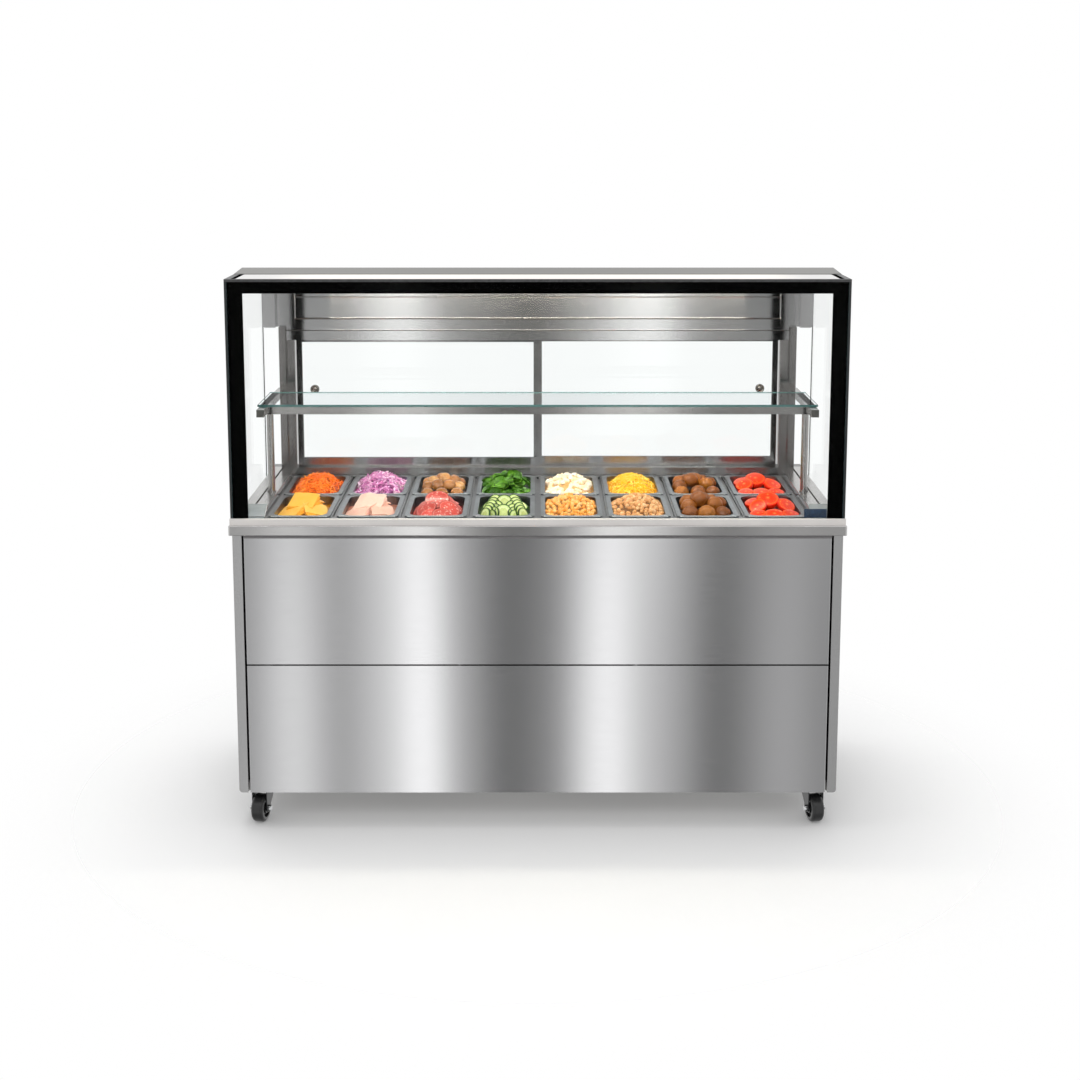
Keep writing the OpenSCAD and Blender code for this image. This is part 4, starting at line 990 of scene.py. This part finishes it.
def strew(rng, height, count, reach, lift, lean, apart=0.0):
    """Matrices for loose pieces: both ends of their reach stay over the mouth of the pan."""
    places, matrices = [], []
    for _ in range(count * 80):
        x, y = rng.uniform(-70, 70), rng.uniform(-120, 120)
        turn = rng.uniform(0, 360)
        dx = reach / 2 * math.cos(math.radians(turn))
        dy = reach / 2 * math.sin(math.radians(turn))
        ends = ((x + dx, y + dy), (x - dx, y - dy))
        if not all(inside(a * MM, b * MM, 2 * MM) for a, b in ends):
            continue
        if any(math.hypot(x - a, y - b) < apart for a, b in places):
            continue
        places.append((x, y))
        matrices.append(lie(height, x, y, rng.uniform(*lift), turn,
                            (rng.uniform(-lean, lean), rng.uniform(-lean, lean))))
        if len(matrices) == count:
            break
    return matrices


def set_out(bm, piece, matrices, rng):
    """One copy of a template for each matrix, each with its own tone, and then no template."""
    tone = bm.verts.layers.float["tone"]
    for matrix in matrices:
        copy = bmesh.ops.duplicate(bm, geom=piece)["geom"]
        verts = [g for g in copy if isinstance(g, bmesh.types.BMVert)]
        bmesh.ops.transform(bm, matrix=matrix, verts=verts)
        shade = rng.random()
        for vertex in verts:
            vertex[tone] = shade
    bmesh.ops.delete(bm, geom=[g for g in piece if isinstance(g, bmesh.types.BMVert)],
                     context="VERTS")


def serve(name, bm, materials, pan):
    """Puts a filling in its pan, as one piece that is lifted out with the pan."""
    low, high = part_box(pan)
    centre = (low + high) / 2
    bmesh.ops.translate(bm, vec=(centre.x, centre.y, high.z), verts=bm.verts)
    piece = make_piece(name, bm, materials, pan)
    print(f"{name}: {len(piece.data.polygons)} faces in {pan}")


# %% [markdown]
# ## Food: colours
# Cut food is moist and lets a little light in, so it has a soft shine and some subsurface
# light. No two pieces have one colour: the tone of each piece and a fine noise choose a place
# on a ramp from the darkest to the lightest. The filling under the pieces has darker colours of
# its own: painted shade for the gaps between them. The grain is that of each food, 2 to 9 mm; on
# the smooth slices of cheese and ham it is wider.

# %% Food colours
GRAIN_SHARE = 0.45    # how much the fine grain counts beside the tone of the piece
BLOTCH_WARP = 5       # in mm: how coarsely the outlines of seeds and fat are bent
RIND = (0.80, 0.90)   # where the blotches end, as shares of the radius of a slice
DEPTH = 3 * MM        # how far light goes into moist food
RED_GOES_FURTHER = (1.0, 0.5, 0.3)


def food(name, colours, roughness=0.42, grain=3.0, dent=0.3, through=0.10, coat=0.0):
    """A moist food, from the colour of its darkest piece to its lightest; grain in mm."""
    material, tree = new_material(name)
    place = add_node(tree, "TexCoord").outputs["Object"]
    speck = add_node(tree, "TexNoise", inputs={
        "Vector": place, "Scale": 1 / (grain * MM), "Detail": 3.0}).outputs[0]
    tone = add_node(tree, "Attribute", {"attribute_name": "tone"}).outputs["Fac"]
    mix = add_node(tree, "Mix", {"data_type": "FLOAT"}, {
        0: GRAIN_SHARE, 2: tone, 3: speck}).outputs[0]
    last = len(colours) - 1
    stops = [(0.15 + 0.7 * i / last, linear(c)) for i, c in enumerate(colours)]
    colour = add_node(tree, "ValToRGB", {"stops": stops}, {"Fac": mix}).outputs["Color"]
    height = add_node(tree, "Bump", inputs={
        "Strength": dent, "Distance": 0.5 * MM, "Height": speck}).outputs[0]
    shader = add_node(tree, "BsdfPrincipled", inputs={
        "Base Color": colour, "Roughness": roughness, "Normal": height, "Coat Weight": coat,
        "Subsurface Weight": through, "Subsurface Radius": RED_GOES_FURTHER,
        "Subsurface Scale": DEPTH}).outputs[0]
    add_node(tree, "OutputMaterial", inputs={"Surface": shader})
    return material


def cut_face(name, rings, blotch, blotch_size, roughness=0.3, coat=0.2):
    """Sliced food: colour by distance from the middle of the slice, with blotches in it.

    rings are (distance as a share of the radius, colour); blotch is a colour and how much of
    the face it takes; blotch_size is a share of the radius.
    """
    material, tree = new_material(name)
    local = add_node(tree, "Attribute", {"attribute_name": "local"}).outputs["Vector"]
    flat = add_node(tree, "VectorMath", {"operation": "MULTIPLY"},
                    {0: local, 1: (1, 1, 0)}).outputs[0]
    out = add_node(tree, "VectorMath", {"operation": "LENGTH"}, {0: flat}).outputs["Value"]
    stops = [(share, linear(c)) for share, c in rings]
    base = add_node(tree, "ValToRGB", {"stops": stops}, {"Fac": out}).outputs["Color"]
    place = add_node(tree, "TexCoord").outputs["Object"]
    warp = add_node(tree, "TexNoise", inputs={
        "Vector": place, "Scale": 1 / (BLOTCH_WARP * MM), "Detail": 2.0}).outputs["Color"]
    moved = add_node(tree, "VectorMath", {"operation": "MULTIPLY_ADD"},
                     {0: warp, 1: (0.16, 0.16, 0.16), 2: local}).outputs[0]
    cells = add_node(tree, "TexVoronoi", inputs={
        "Vector": moved, "Scale": 1 / blotch_size}).outputs["Distance"]
    spot = add_node(tree, "MapRange", inputs={
        "Value": cells, "From Min": blotch[1], "From Max": blotch[1] + 0.08,
        "To Min": 1.0, "To Max": 0.0}).outputs[0]
    within = add_node(tree, "MapRange", inputs={
        "Value": out, "From Min": RIND[0], "From Max": RIND[1],
        "To Min": 1.0, "To Max": 0.0}).outputs[0]
    amount = add_node(tree, "Math", {"operation": "MULTIPLY"}, {0: spot, 1: within}).outputs[0]
    colour = add_node(tree, "Mix", {"data_type": "RGBA"}, {
        0: amount, 6: base, 7: linear(blotch[0])}).outputs[2]
    tone = add_node(tree, "Attribute", {"attribute_name": "tone"}).outputs["Fac"]
    level = add_node(tree, "MapRange", inputs={
        "Value": tone, "To Min": 0.80, "To Max": 1.12}).outputs[0]
    shaded = add_node(tree, "VectorMath", {"operation": "SCALE"},
                      {0: colour, "Scale": level}).outputs[0]
    shader = add_node(tree, "BsdfPrincipled", inputs={
        "Base Color": shaded, "Roughness": roughness, "Coat Weight": coat,
        "Subsurface Weight": 0.10, "Subsurface Radius": RED_GOES_FURTHER,
        "Subsurface Scale": DEPTH}).outputs[0]
    add_node(tree, "OutputMaterial", inputs={"Surface": shader})
    return material


# %% [markdown]
# ## Food: the rear row
# Grated carrot and cheese are strips, onion is strips bent round, leaves are shallow cups,
# mushrooms are turned, and cheese cubes are cubes with their edges and faces knocked about.

# %% Grated carrot and cheese
def grated(name, pan, materials, size, counts, seed, peak=23):
    """A mound of strips; size is length, width and thickness in mm."""
    rng = random.Random(seed)
    height = mound(peak, -14)
    bm = fill(height, 5, 8)
    length, width, thick = size
    for i, count in enumerate(counts):
        strip = shred(bm, length * (0.8 + 0.2 * i), width, thick, 3.5 * i - 3, 2.5 - i)
        set_out(bm, strip, strew(rng, height, count, length, (-1, 5), 17), rng)
    serve(name, bm, materials, pan)


# Carrot: freshly cut strips, a strong orange that is wet and pale on the top ones
carrot_bed = food("carrot_in_the_shade", ("#B43A02", "#E05C08"))
carrot = food("grated_carrot", ("#F26206", "#FF7A10", "#FFA040"), 0.38)
grated("grated_carrot", "pan_rear_1", [carrot_bed, carrot], (38, 2.4, 1.5), (190, 190, 150), 1)
# Grated cheese: dry waxy strips, warm yellow, with cream cut faces
cheese_bed = food("grated_cheese_in_the_shade", ("#D89208", "#EFAC10"))
grated_cheese = food("grated_yellow_cheese", ("#FFB814", "#FFCC2C", "#FFE884"), 0.5)
grated("grated_cheese", "pan_rear_6", [cheese_bed, grated_cheese], (30, 2.0, 1.5),
       (180, 180, 150), 2)


# %% Red onion
def arc(bm, radius, span, width, thick, warp):
    """A strip of onion: part of a ring, warped out of its plane."""
    def shape(a, b):
        turn = a * math.radians(span) / 2
        out = radius + b * width / 2
        return out * math.sin(turn), out * math.cos(turn) - radius * 0.6, warp * a * b + a * a
    return slab(bm, (9, 1), thick, shape, radius)


rng = random.Random(3)
# Onion: glassy strips, from purple skin to nearly white flesh
onion_bed = food("onion_in_the_shade", ("#8A3E78", "#B0609A"))
onion = food("sliced_red_onion", ("#BC5EA2", "#DE94C8", "#FCE6F6"), 0.32, grain=2.0, coat=0.3)
height = mound(22, -14)
bm = fill(height, 5, 9)
for radius, span, count in ((13, 210, 90), (18, 160, 110), (24, 110, 100)):
    strip = arc(bm, radius, span, 3.2, 2.0, 1.5)
    set_out(bm, strip, strew(rng, height, count, 2 * radius, (-1, 5), 24), rng)
serve("sliced_red_onion", bm, [onion_bed, onion], "pan_rear_2")

# %% Mushrooms
MUSHROOM = ((0, 13), (6, 12.3), (11, 10.2), (15, 6.4), (17.6, 1.2), (17.6, -2.5), (15.5, -5),
            (10, -5.4), (5.5, -5.6), (5, -10), (5.4, -14), (3.2, -15.6), (0, -16))
MUSHROOMS = (  # x, y, height over the rim, turn, lean forward, lean sideways, scale
    (-42, -76, -8, 0, 12, -8, 1.05), (-1, -84, -7, 60, 18, 3, 1.12),
    (42, -76, -8, 110, 14, 10, 1.08), (-44, -22, 0, 200, 28, -22, 0.95),
    (-14, -34, 6, 20, 34, -6, 1.06), (18, -30, 5, 310, 22, 12, 1.08),
    (47, -20, 0, 80, 20, 24, 0.95), (-30, 16, 8, 150, 30, -16, 1.0),
    (4, 14, 16, 250, 38, 4, 1.02), (32, 18, 9, 30, 26, 20, 1.0), (-46, 52, -3, 70, 20, -14, 1.0),
    (-8, 60, 8, 0, 24, 0, 1.0), (28, 62, 3, 190, 24, 14, 0.95), (47, 60, -6, 10, 16, 20, 0.9),
    (-24, 90, -6, 40, 10, -6, 0.95), (22, 94, -8, 90, 8, 10, 0.95))
rng = random.Random(4)
# Mushrooms: glazed brown caps, each with a small sharp light
mushroom_bed = food("mushroom_in_the_shade", ("#1C0F06", "#2E1C0E"))
mushroom = food("brown_mushroom", ("#855024", "#A8703C", "#CB9A62"), 0.24, grain=9.0, dent=0.15,
                coat=0.6)
bm = fill(mound(-2, -24), 4, 12)
cap = turned(bm, MUSHROOM, 28, 18)
set_out(bm, cap, [stand(x, y, z, turn, (lean, side), scale)
                  for x, y, z, turn, lean, side, scale in MUSHROOMS], rng)
serve("brown_mushrooms", bm, [mushroom_bed, mushroom], "pan_rear_3")

# %% Green leaves
rng = random.Random(5)
# Leaves: thin and waxy, dark green with yellow-green veins in the grain
leaf_bed = food("leaves_in_the_shade", ("#0C2804", "#163A08"))
leaf = food("green_leaf", ("#244F00", "#3F7404", "#649A22"), 0.50, grain=7.0, dent=0.4,
            through=0.0)
height = mound(17, -15)
bm = fill(height, 6, 12)
for radius, cup, count in ((15, 4, 50), (12.5, -3, 50), (17, 5, 28)):
    def leaf_shape(a, b, radius=radius, cup=cup):
        x, y = round_grid(a, b)
        return (radius * x * (1 - 0.16 * y), radius * y * 1.08,
                cup * (x * x + y * y - 0.5) + 1.6 * abs(x))
    blade = slab(bm, (6, 6), 0.5, leaf_shape, radius)
    set_out(bm, blade, strew(rng, height, count, 2 * radius, (0, 6), 34, apart=3), rng)
    upright = slab(bm, (6, 6), 0.5, leaf_shape, radius)
    set_out(bm, upright, [stand(rng.uniform(-34, 34), rng.uniform(-10, 60), rng.uniform(12, 19),
                                rng.uniform(-30, 30), (rng.uniform(35, 75), 0), 0.9)
                          for _ in range(6)], rng)
serve("green_leaves", bm, [leaf_bed, leaf], "pan_rear_4")

# %% Cheese cubes
rng = random.Random(6)
# Curd cheese: crumbly cream cubes over a tan filling, painted shade between them
curd_bed = food("curd_cheese_in_the_shade", ("#C89A5C", "#DDB27A"))
curd = food("curd_cheese", ("#FFDFB4", "#FFEDD2", "#FFF9EE"), 0.5, grain=2.0, dent=0.2)
height = mound(16, -15)
bm = fill(height, 5, 10)
for i, (size, count) in enumerate((((17, 13, 10), 40), ((13, 12, 11), 40), ((21, 10, 9), 34))):
    verts = bmesh.ops.create_cube(bm, size=1.0)["verts"]
    bmesh.ops.scale(bm, vec=[s * MM for s in size], verts=verts)
    before = set(bm.verts) - set(verts)
    bmesh.ops.bevel(bm, geom=list({e for v in verts for e in v.link_edges}), offset=1.3 * MM,
                    offset_type="OFFSET", affect="EDGES", segments=1, profile=0.5, material=-1)
    verts = [v for v in bm.verts if v not in before]
    for vertex in verts:
        vertex.co += noise.noise_vector(vertex.co / (6 * MM) + Vector((i * 9, 0, 0))) * 1.6 * MM
    chunk = template(bm, verts, 10)
    set_out(bm, chunk, strew(rng, height, count, size[0] + 3, (0, 7), 30, apart=7), rng)
serve("curd_cheese_cubes", bm, [curd_bed, curd], "pan_rear_5")


# %% [markdown]
# ## Food: balls and halves
# Chickpeas and beans are small and lie as they fall. Falafel and halved tomatoes are few and
# large, so each is placed one by one where the photograph has it.

# %% Falafel
def falafel_pan(name, pan, radius, places, seed):
    """Balls of falafel with a rough crust; places are x, y and height over the rim in mm."""
    rng = random.Random(seed)
    bm = fill(mound(-8, -26), 4, 12)
    crust = ball(bm, (radius, radius, radius * 0.94), 4, 1.6, radius * 0.55, seed)
    set_out(bm, crust, [stand(x, y, z, rng.uniform(0, 360), (rng.uniform(-40, 40), 0), scale)
                        for x, y, z, scale in places], rng)
    serve(name, bm, [crust_bed, fried_crust], pan)


# Falafel: a dry fried crust, rough brown with darker crumbs
crust_bed = food("falafel_in_the_shade", ("#2A1706", "#40240C"))
fried_crust = food("fried_falafel_crust", ("#6E3808", "#8E4E10", "#A8661C"), 0.45, grain=3.5,
                   dent=0.9, through=0.0, coat=0.15)
falafel_pan("falafel_rear", "pan_rear_7", 20.5, (
    (-43, -78, -7, 1.0), (3, -80, -6, 1.05), (44, -78, -7, 1.0), (-44, -24, -1, 1.0),
    (-13, -8, 15, 1.05), (31, -20, 5, 1.0), (45, 26, -2, 0.95), (-40, 36, 0, 1.0), (5, 48, 4, 1.0),
    (-20, 88, -8, 1.0), (28, 84, -8, 1.0)), 7)
falafel_pan("falafel_front", "pan_front_7", 22.5, (
    (-42, -74, -7, 1.0), (1, -80, -5, 1.08), (43, -76, -7, 1.0), (-42, -20, 1, 0.98),
    (-14, -8, 19, 1.05), (27, -18, 6, 1.02), (43, 30, -2, 0.95), (-40, 40, 0, 1.0),
    (2, 52, 4, 1.0), (-22, 90, -8, 0.95), (26, 88, -8, 0.95)), 8)


# %% Tomato halves
TOMATO = ((0, 1.0), (10, 0.8), (20, 0.4), (24.6, -1.2), (26, -4), (25.4, -9), (22.4, -14.5),
          (17, -19), (10, -22), (4, -23), (0, -23))


def tomato_pan(name, pan, places, seed):
    """Tomato halves; places are x, y, height, lean forward, lean sideways and scale."""
    rng = random.Random(seed)
    bm = fill(mound(-8, -26), 3, 14)
    half = turned(bm, TOMATO, 40, 26)
    set_out(bm, half, [stand(x, y, z, rng.uniform(0, 360), (lean, side), scale)
                       for x, y, z, lean, side, scale in places], rng)
    serve(name, bm, [tomato_bed, tomato], pan)


# Tomato: wet cut faces, red flesh in rings with paler seed chambers
tomato_bed = food("tomato_in_the_shade", ("#7A1204", "#A01C06"))
tomato = cut_face("halved_tomato", (
    (0.0, "#FF9A5C"), (0.14, "#FF5A1C"), (0.28, "#F43000"), (0.70, "#FF3C02"), (0.82, "#FF6A22"),
    (0.90, "#FF2E00"), (1.0, "#EE2600")), ("#FF9044", 0.14), 0.50, 0.32, 0.1)
tomato_pan("tomato_halves_rear", "pan_rear_8", (
    (-42, -78, -3, 14, -6, 0.86), (2, -84, -3, 16, 0, 1.02), (45, -80, -3, 14, 8, 0.94),
    (-40, -18, 6, 26, -20, 0.98), (-6, 0, 19, 24, -2, 1.16), (42, -14, 6, 22, 16, 1.0),
    (-38, 46, 2, 12, -12, 1.0), (8, 60, 6, 10, 0, 1.05), (42, 50, 0, 10, 12, 1.0),
    (-18, 94, -10, 5, 0, 0.85), (30, 94, -10, 5, 0, 0.85)), 9)
tomato_pan("tomato_halves_front", "pan_front_8", (
    (-42, -78, -3, 14, -8, 0.88), (1, -84, -3, 17, 0, 1.06), (45, -80, -3, 15, 8, 0.92),
    (-38, -28, 7, 30, -26, 0.95), (-6, 4, 20, 26, -2, 1.20), (42, -20, 8, 28, 20, 0.96),
    (-38, 46, 2, 12, -12, 1.0), (8, 62, 6, 10, 0, 1.05), (42, 50, 0, 10, 12, 1.0),
    (-18, 94, -10, 5, 0, 0.85), (30, 94, -10, 5, 0, 0.85)), 10)


# %% Chickpeas and beans
def pulses(name, pan, materials, radii, counts, apart, seed):
    """A mound of small round seeds with their three radii in mm."""
    rng = random.Random(seed)
    height = mound(17, -13)
    bm = fill(height, 4, 10)
    for i, count in enumerate(counts):
        seed_shape = ball(bm, radii, 2, 0.9, 5, seed + i)
        set_out(bm, seed_shape, strew(rng, height, count, 2 * max(radii), (0.5 + 2 * i, 2 + 3 * i),
                                      180, apart), rng)
    serve(name, bm, materials, pan)


# Chickpeas: smooth skins, golden, with a soft light on each
chickpea_bed = food("chickpeas_in_the_shade", ("#8E5A20", "#B27A38"))
chickpea = food("boiled_chickpea", ("#EE9A38", "#FAB252", "#FFD08A"), 0.34, grain=5.0, coat=0.15)
pulses("chickpeas", "pan_front_5", [chickpea_bed, chickpea], (6.2, 5.8, 5.6), (170, 80), 8.6, 12)
# Beans: paler and duller than the chickpeas, buff with a brown shade
bean_bed = food("beans_in_the_shade", ("#7A5028", "#9A6C3C"))
bean = food("boiled_bean", ("#D09056", "#E4AC70", "#F4CC9A"), 0.40, grain=5.0)
pulses("beans", "pan_front_6", [bean_bed, bean], (7.6, 5.8, 5.6), (140, 70), 9.6, 14)

# %% [markdown]
# ## Food: slices
# Slices of cheese and ham lie in stacks: one sagging away to each side, one behind, and one on
# top in the middle, tilted to the customer. Salami and cucumber are discs, fanned out.

# %% Cheese and ham slices
def sliced(name, pan, materials, slices, seed):
    """Stacks of square slices; slices are the settings of the sheet in mm."""
    half, thick, sag, ripple = slices
    rng = random.Random(seed)
    bm = fill(mound(-6, -24), 3, 20)

    def shape(a, b):
        wave = noise.noise(Vector((a * 1.3, b * 1.3, seed)))
        corner = min(1.0, 1.08 - 0.08 * abs(a * b))
        return (half * a * corner, half * b * corner,
                -sag * (0.8 * a * a + 0.5 * b * b) + ripple * wave)

    square = slab(bm, (12, 12), thick, shape, half)
    places = []
    for i in range(6):  # the three lower stacks, bottom slices first
        jitter = rng.uniform(-1.5, 1.5)
        places.append(stand(-32 + jitter, -44 + 2 * i, -13 + 2.6 * i, 38 + 4 * i, (12, -20), 0.98))
        places.append(stand(33 + jitter, -40 + 2 * i, -12 + 2.6 * i, 40 - 4 * i, (10, 22), 0.98))
        places.append(stand(jitter, 60 + jitter, -14 + 2.6 * i, 5 * i, (0, 4 - 2 * i), 0.98))
    for i in range(7):
        places.append(stand(-4 + rng.uniform(-1, 1), -16 + 1.4 * i, 1 + 3.1 * i,
                            -20 + 1.5 * i + rng.uniform(-2, 2), (17 + 0.5 * i, -3)))
    set_out(bm, square, places, rng)
    serve(name, bm, materials, pan)


# Cheese slices: smooth and waxy, an even warm yellow that glows at thin edges
cheese_shade = food("sliced_cheese_in_the_shade", ("#C07A10", "#DE9A24"))
sliced_cheese = food("sliced_yellow_cheese", ("#F9A82E", "#FFBC44", "#FFCA62"), 0.42, grain=30.0,
                     dent=0.05)
sliced("cheese_slices", "pan_front_1", [cheese_shade, sliced_cheese], (35, 2.2, 3, 0.8), 20)
# Ham: moist pink slices with a faint cloudy grain
ham_shade = food("ham_in_the_shade", ("#B0705C", "#CE9480"))
ham = food("sliced_cooked_ham", ("#F4B49E", "#FAC6B2", "#FDD8C8"), 0.40, grain=14.0, dent=0.2,
           coat=0.1)
sliced("ham_slices", "pan_front_2", [ham_shade, ham], (36, 1.8, 7, 4.5), 21)


# %% Salami and cucumber
def disc(bm, radius, thick, sag):
    """A round slice with a little sag."""
    def shape(a, b):
        x, y = round_grid(a, b)
        return radius * x, radius * y, -sag * (x * x + 0.4 * y * y) + 0.4 * math.sin(4 * x)
    return slab(bm, (12, 12), thick, shape, radius)


def fan(start, end, count, turn, lean_from, lean_to, rng):
    """Matrices of slices laid in a row that leans more and more."""
    found = []
    for i in range(count):
        share = i / (count - 1)
        x, y, z = (a + (b - a) * share for a, b in zip(start, end))
        lean = [a + (b - a) * share for a, b in zip(lean_from, lean_to)]
        found.append(stand(x + rng.uniform(-1, 1), y, z, turn + rng.uniform(-8, 8), lean))
    return found


rng = random.Random(22)
# Salami: dark rind, red meat and round flecks of pale fat
salami_shade = food("salami_in_the_shade", ("#5E1812", "#7E261E"))
salami = cut_face("sliced_salami", (
    (0.0, "#D8584E"), (0.80, "#CE483E"), (0.90, "#E88478"), (0.95, "#B4362C"), (1.0, "#8E241C")),
    ("#FFD6CC", 0.20), 0.26, 0.34, 0.3)
bm = fill(mound(-8, -26), 3, 16)
slice_ = disc(bm, 31, 2.4, 4)
set_out(bm, slice_, [
    stand(-44, -18, -4, 0, (16, -34)), stand(-40, -36, -3, 30, (20, -30)),
    stand(-30, -44, 2, 60, (24, -24), 0.96), stand(-18, 6, 10, 70, (20, -30)),
    stand(46, -16, -4, 0, (16, 34)), stand(42, -34, -2, 60, (20, 30)),
    stand(34, -42, 3, 20, (24, 24), 0.96), stand(22, 8, 11, 10, (20, 28)),
    stand(-17, -78, -7, 10, (26, -8), 0.9), stand(16, -80, -6, 50, (26, 8), 0.9),
    stand(0, 4, 17, 20, (26, -2), 1.02), stand(-2, -10, 22, 80, (34, -3), 1.04),
    stand(-24, 62, -2, 0, (4, -10)), stand(24, 66, 0, 40, (2, 12)), stand(0, 80, 4, 70, (0, 4))],
    rng)
serve("salami_slices", bm, [salami_shade, salami], "pan_front_3")

rng = random.Random(23)
# Cucumber: dark skin, pale wet flesh and a seeded middle
cucumber_shade = food("cucumber_in_the_shade", ("#2A4610", "#46661E"))
cucumber = cut_face("sliced_cucumber", (
    (0.0, "#DCE794"), (0.46, "#D2E086"), (0.56, "#E6F0B0"), (0.82, "#DCEA9C"), (0.88, "#8FB84A"),
    (0.93, "#255210"), (1.0, "#1C440B")), ("#B2CA60", 0.18), 0.26, 0.28, 0.3)
bm = fill(mound(-10, -26), 3, 14)
slice_ = disc(bm, 22, 4.0, 0)
set_out(bm, slice_, [
    *fan((-52, -86, -8), (-26, -10, 12), 6, 0, (30, -66), (46, -50), rng),
    *fan((-34, -92, -12), (-22, -40, 2), 4, 0, (30, -66), (46, -50), rng),
    *fan((52, -86, -8), (28, -8, 12), 6, 90, (30, 66), (46, 50), rng),
    *fan((32, -92, -12), (24, -40, 2), 4, 90, (36, 56), (46, 40), rng),
    *fan((-40, 24, -4), (-30, 80, -10), 5, 30, (20, -20), (10, -14), rng),
    *fan((42, 24, -4), (30, 84, -10), 5, 60, (20, 20), (10, 14), rng),
    stand(-2, -80, -1, 0, (62, -4), 1.06), stand(-1, -68, -3, 50, (50, 0)),
    stand(0, -30, 15, 20, (60, 3), 1.02), stand(1, -16, 10, 50, (45, 0)),
    stand(0, 50, 4, 10, (8, 0)), stand(-2, 84, -8, 40, (0, 0))], rng)
serve("cucumber_slices", bm, [cucumber_shade, cucumber], "pan_front_4")
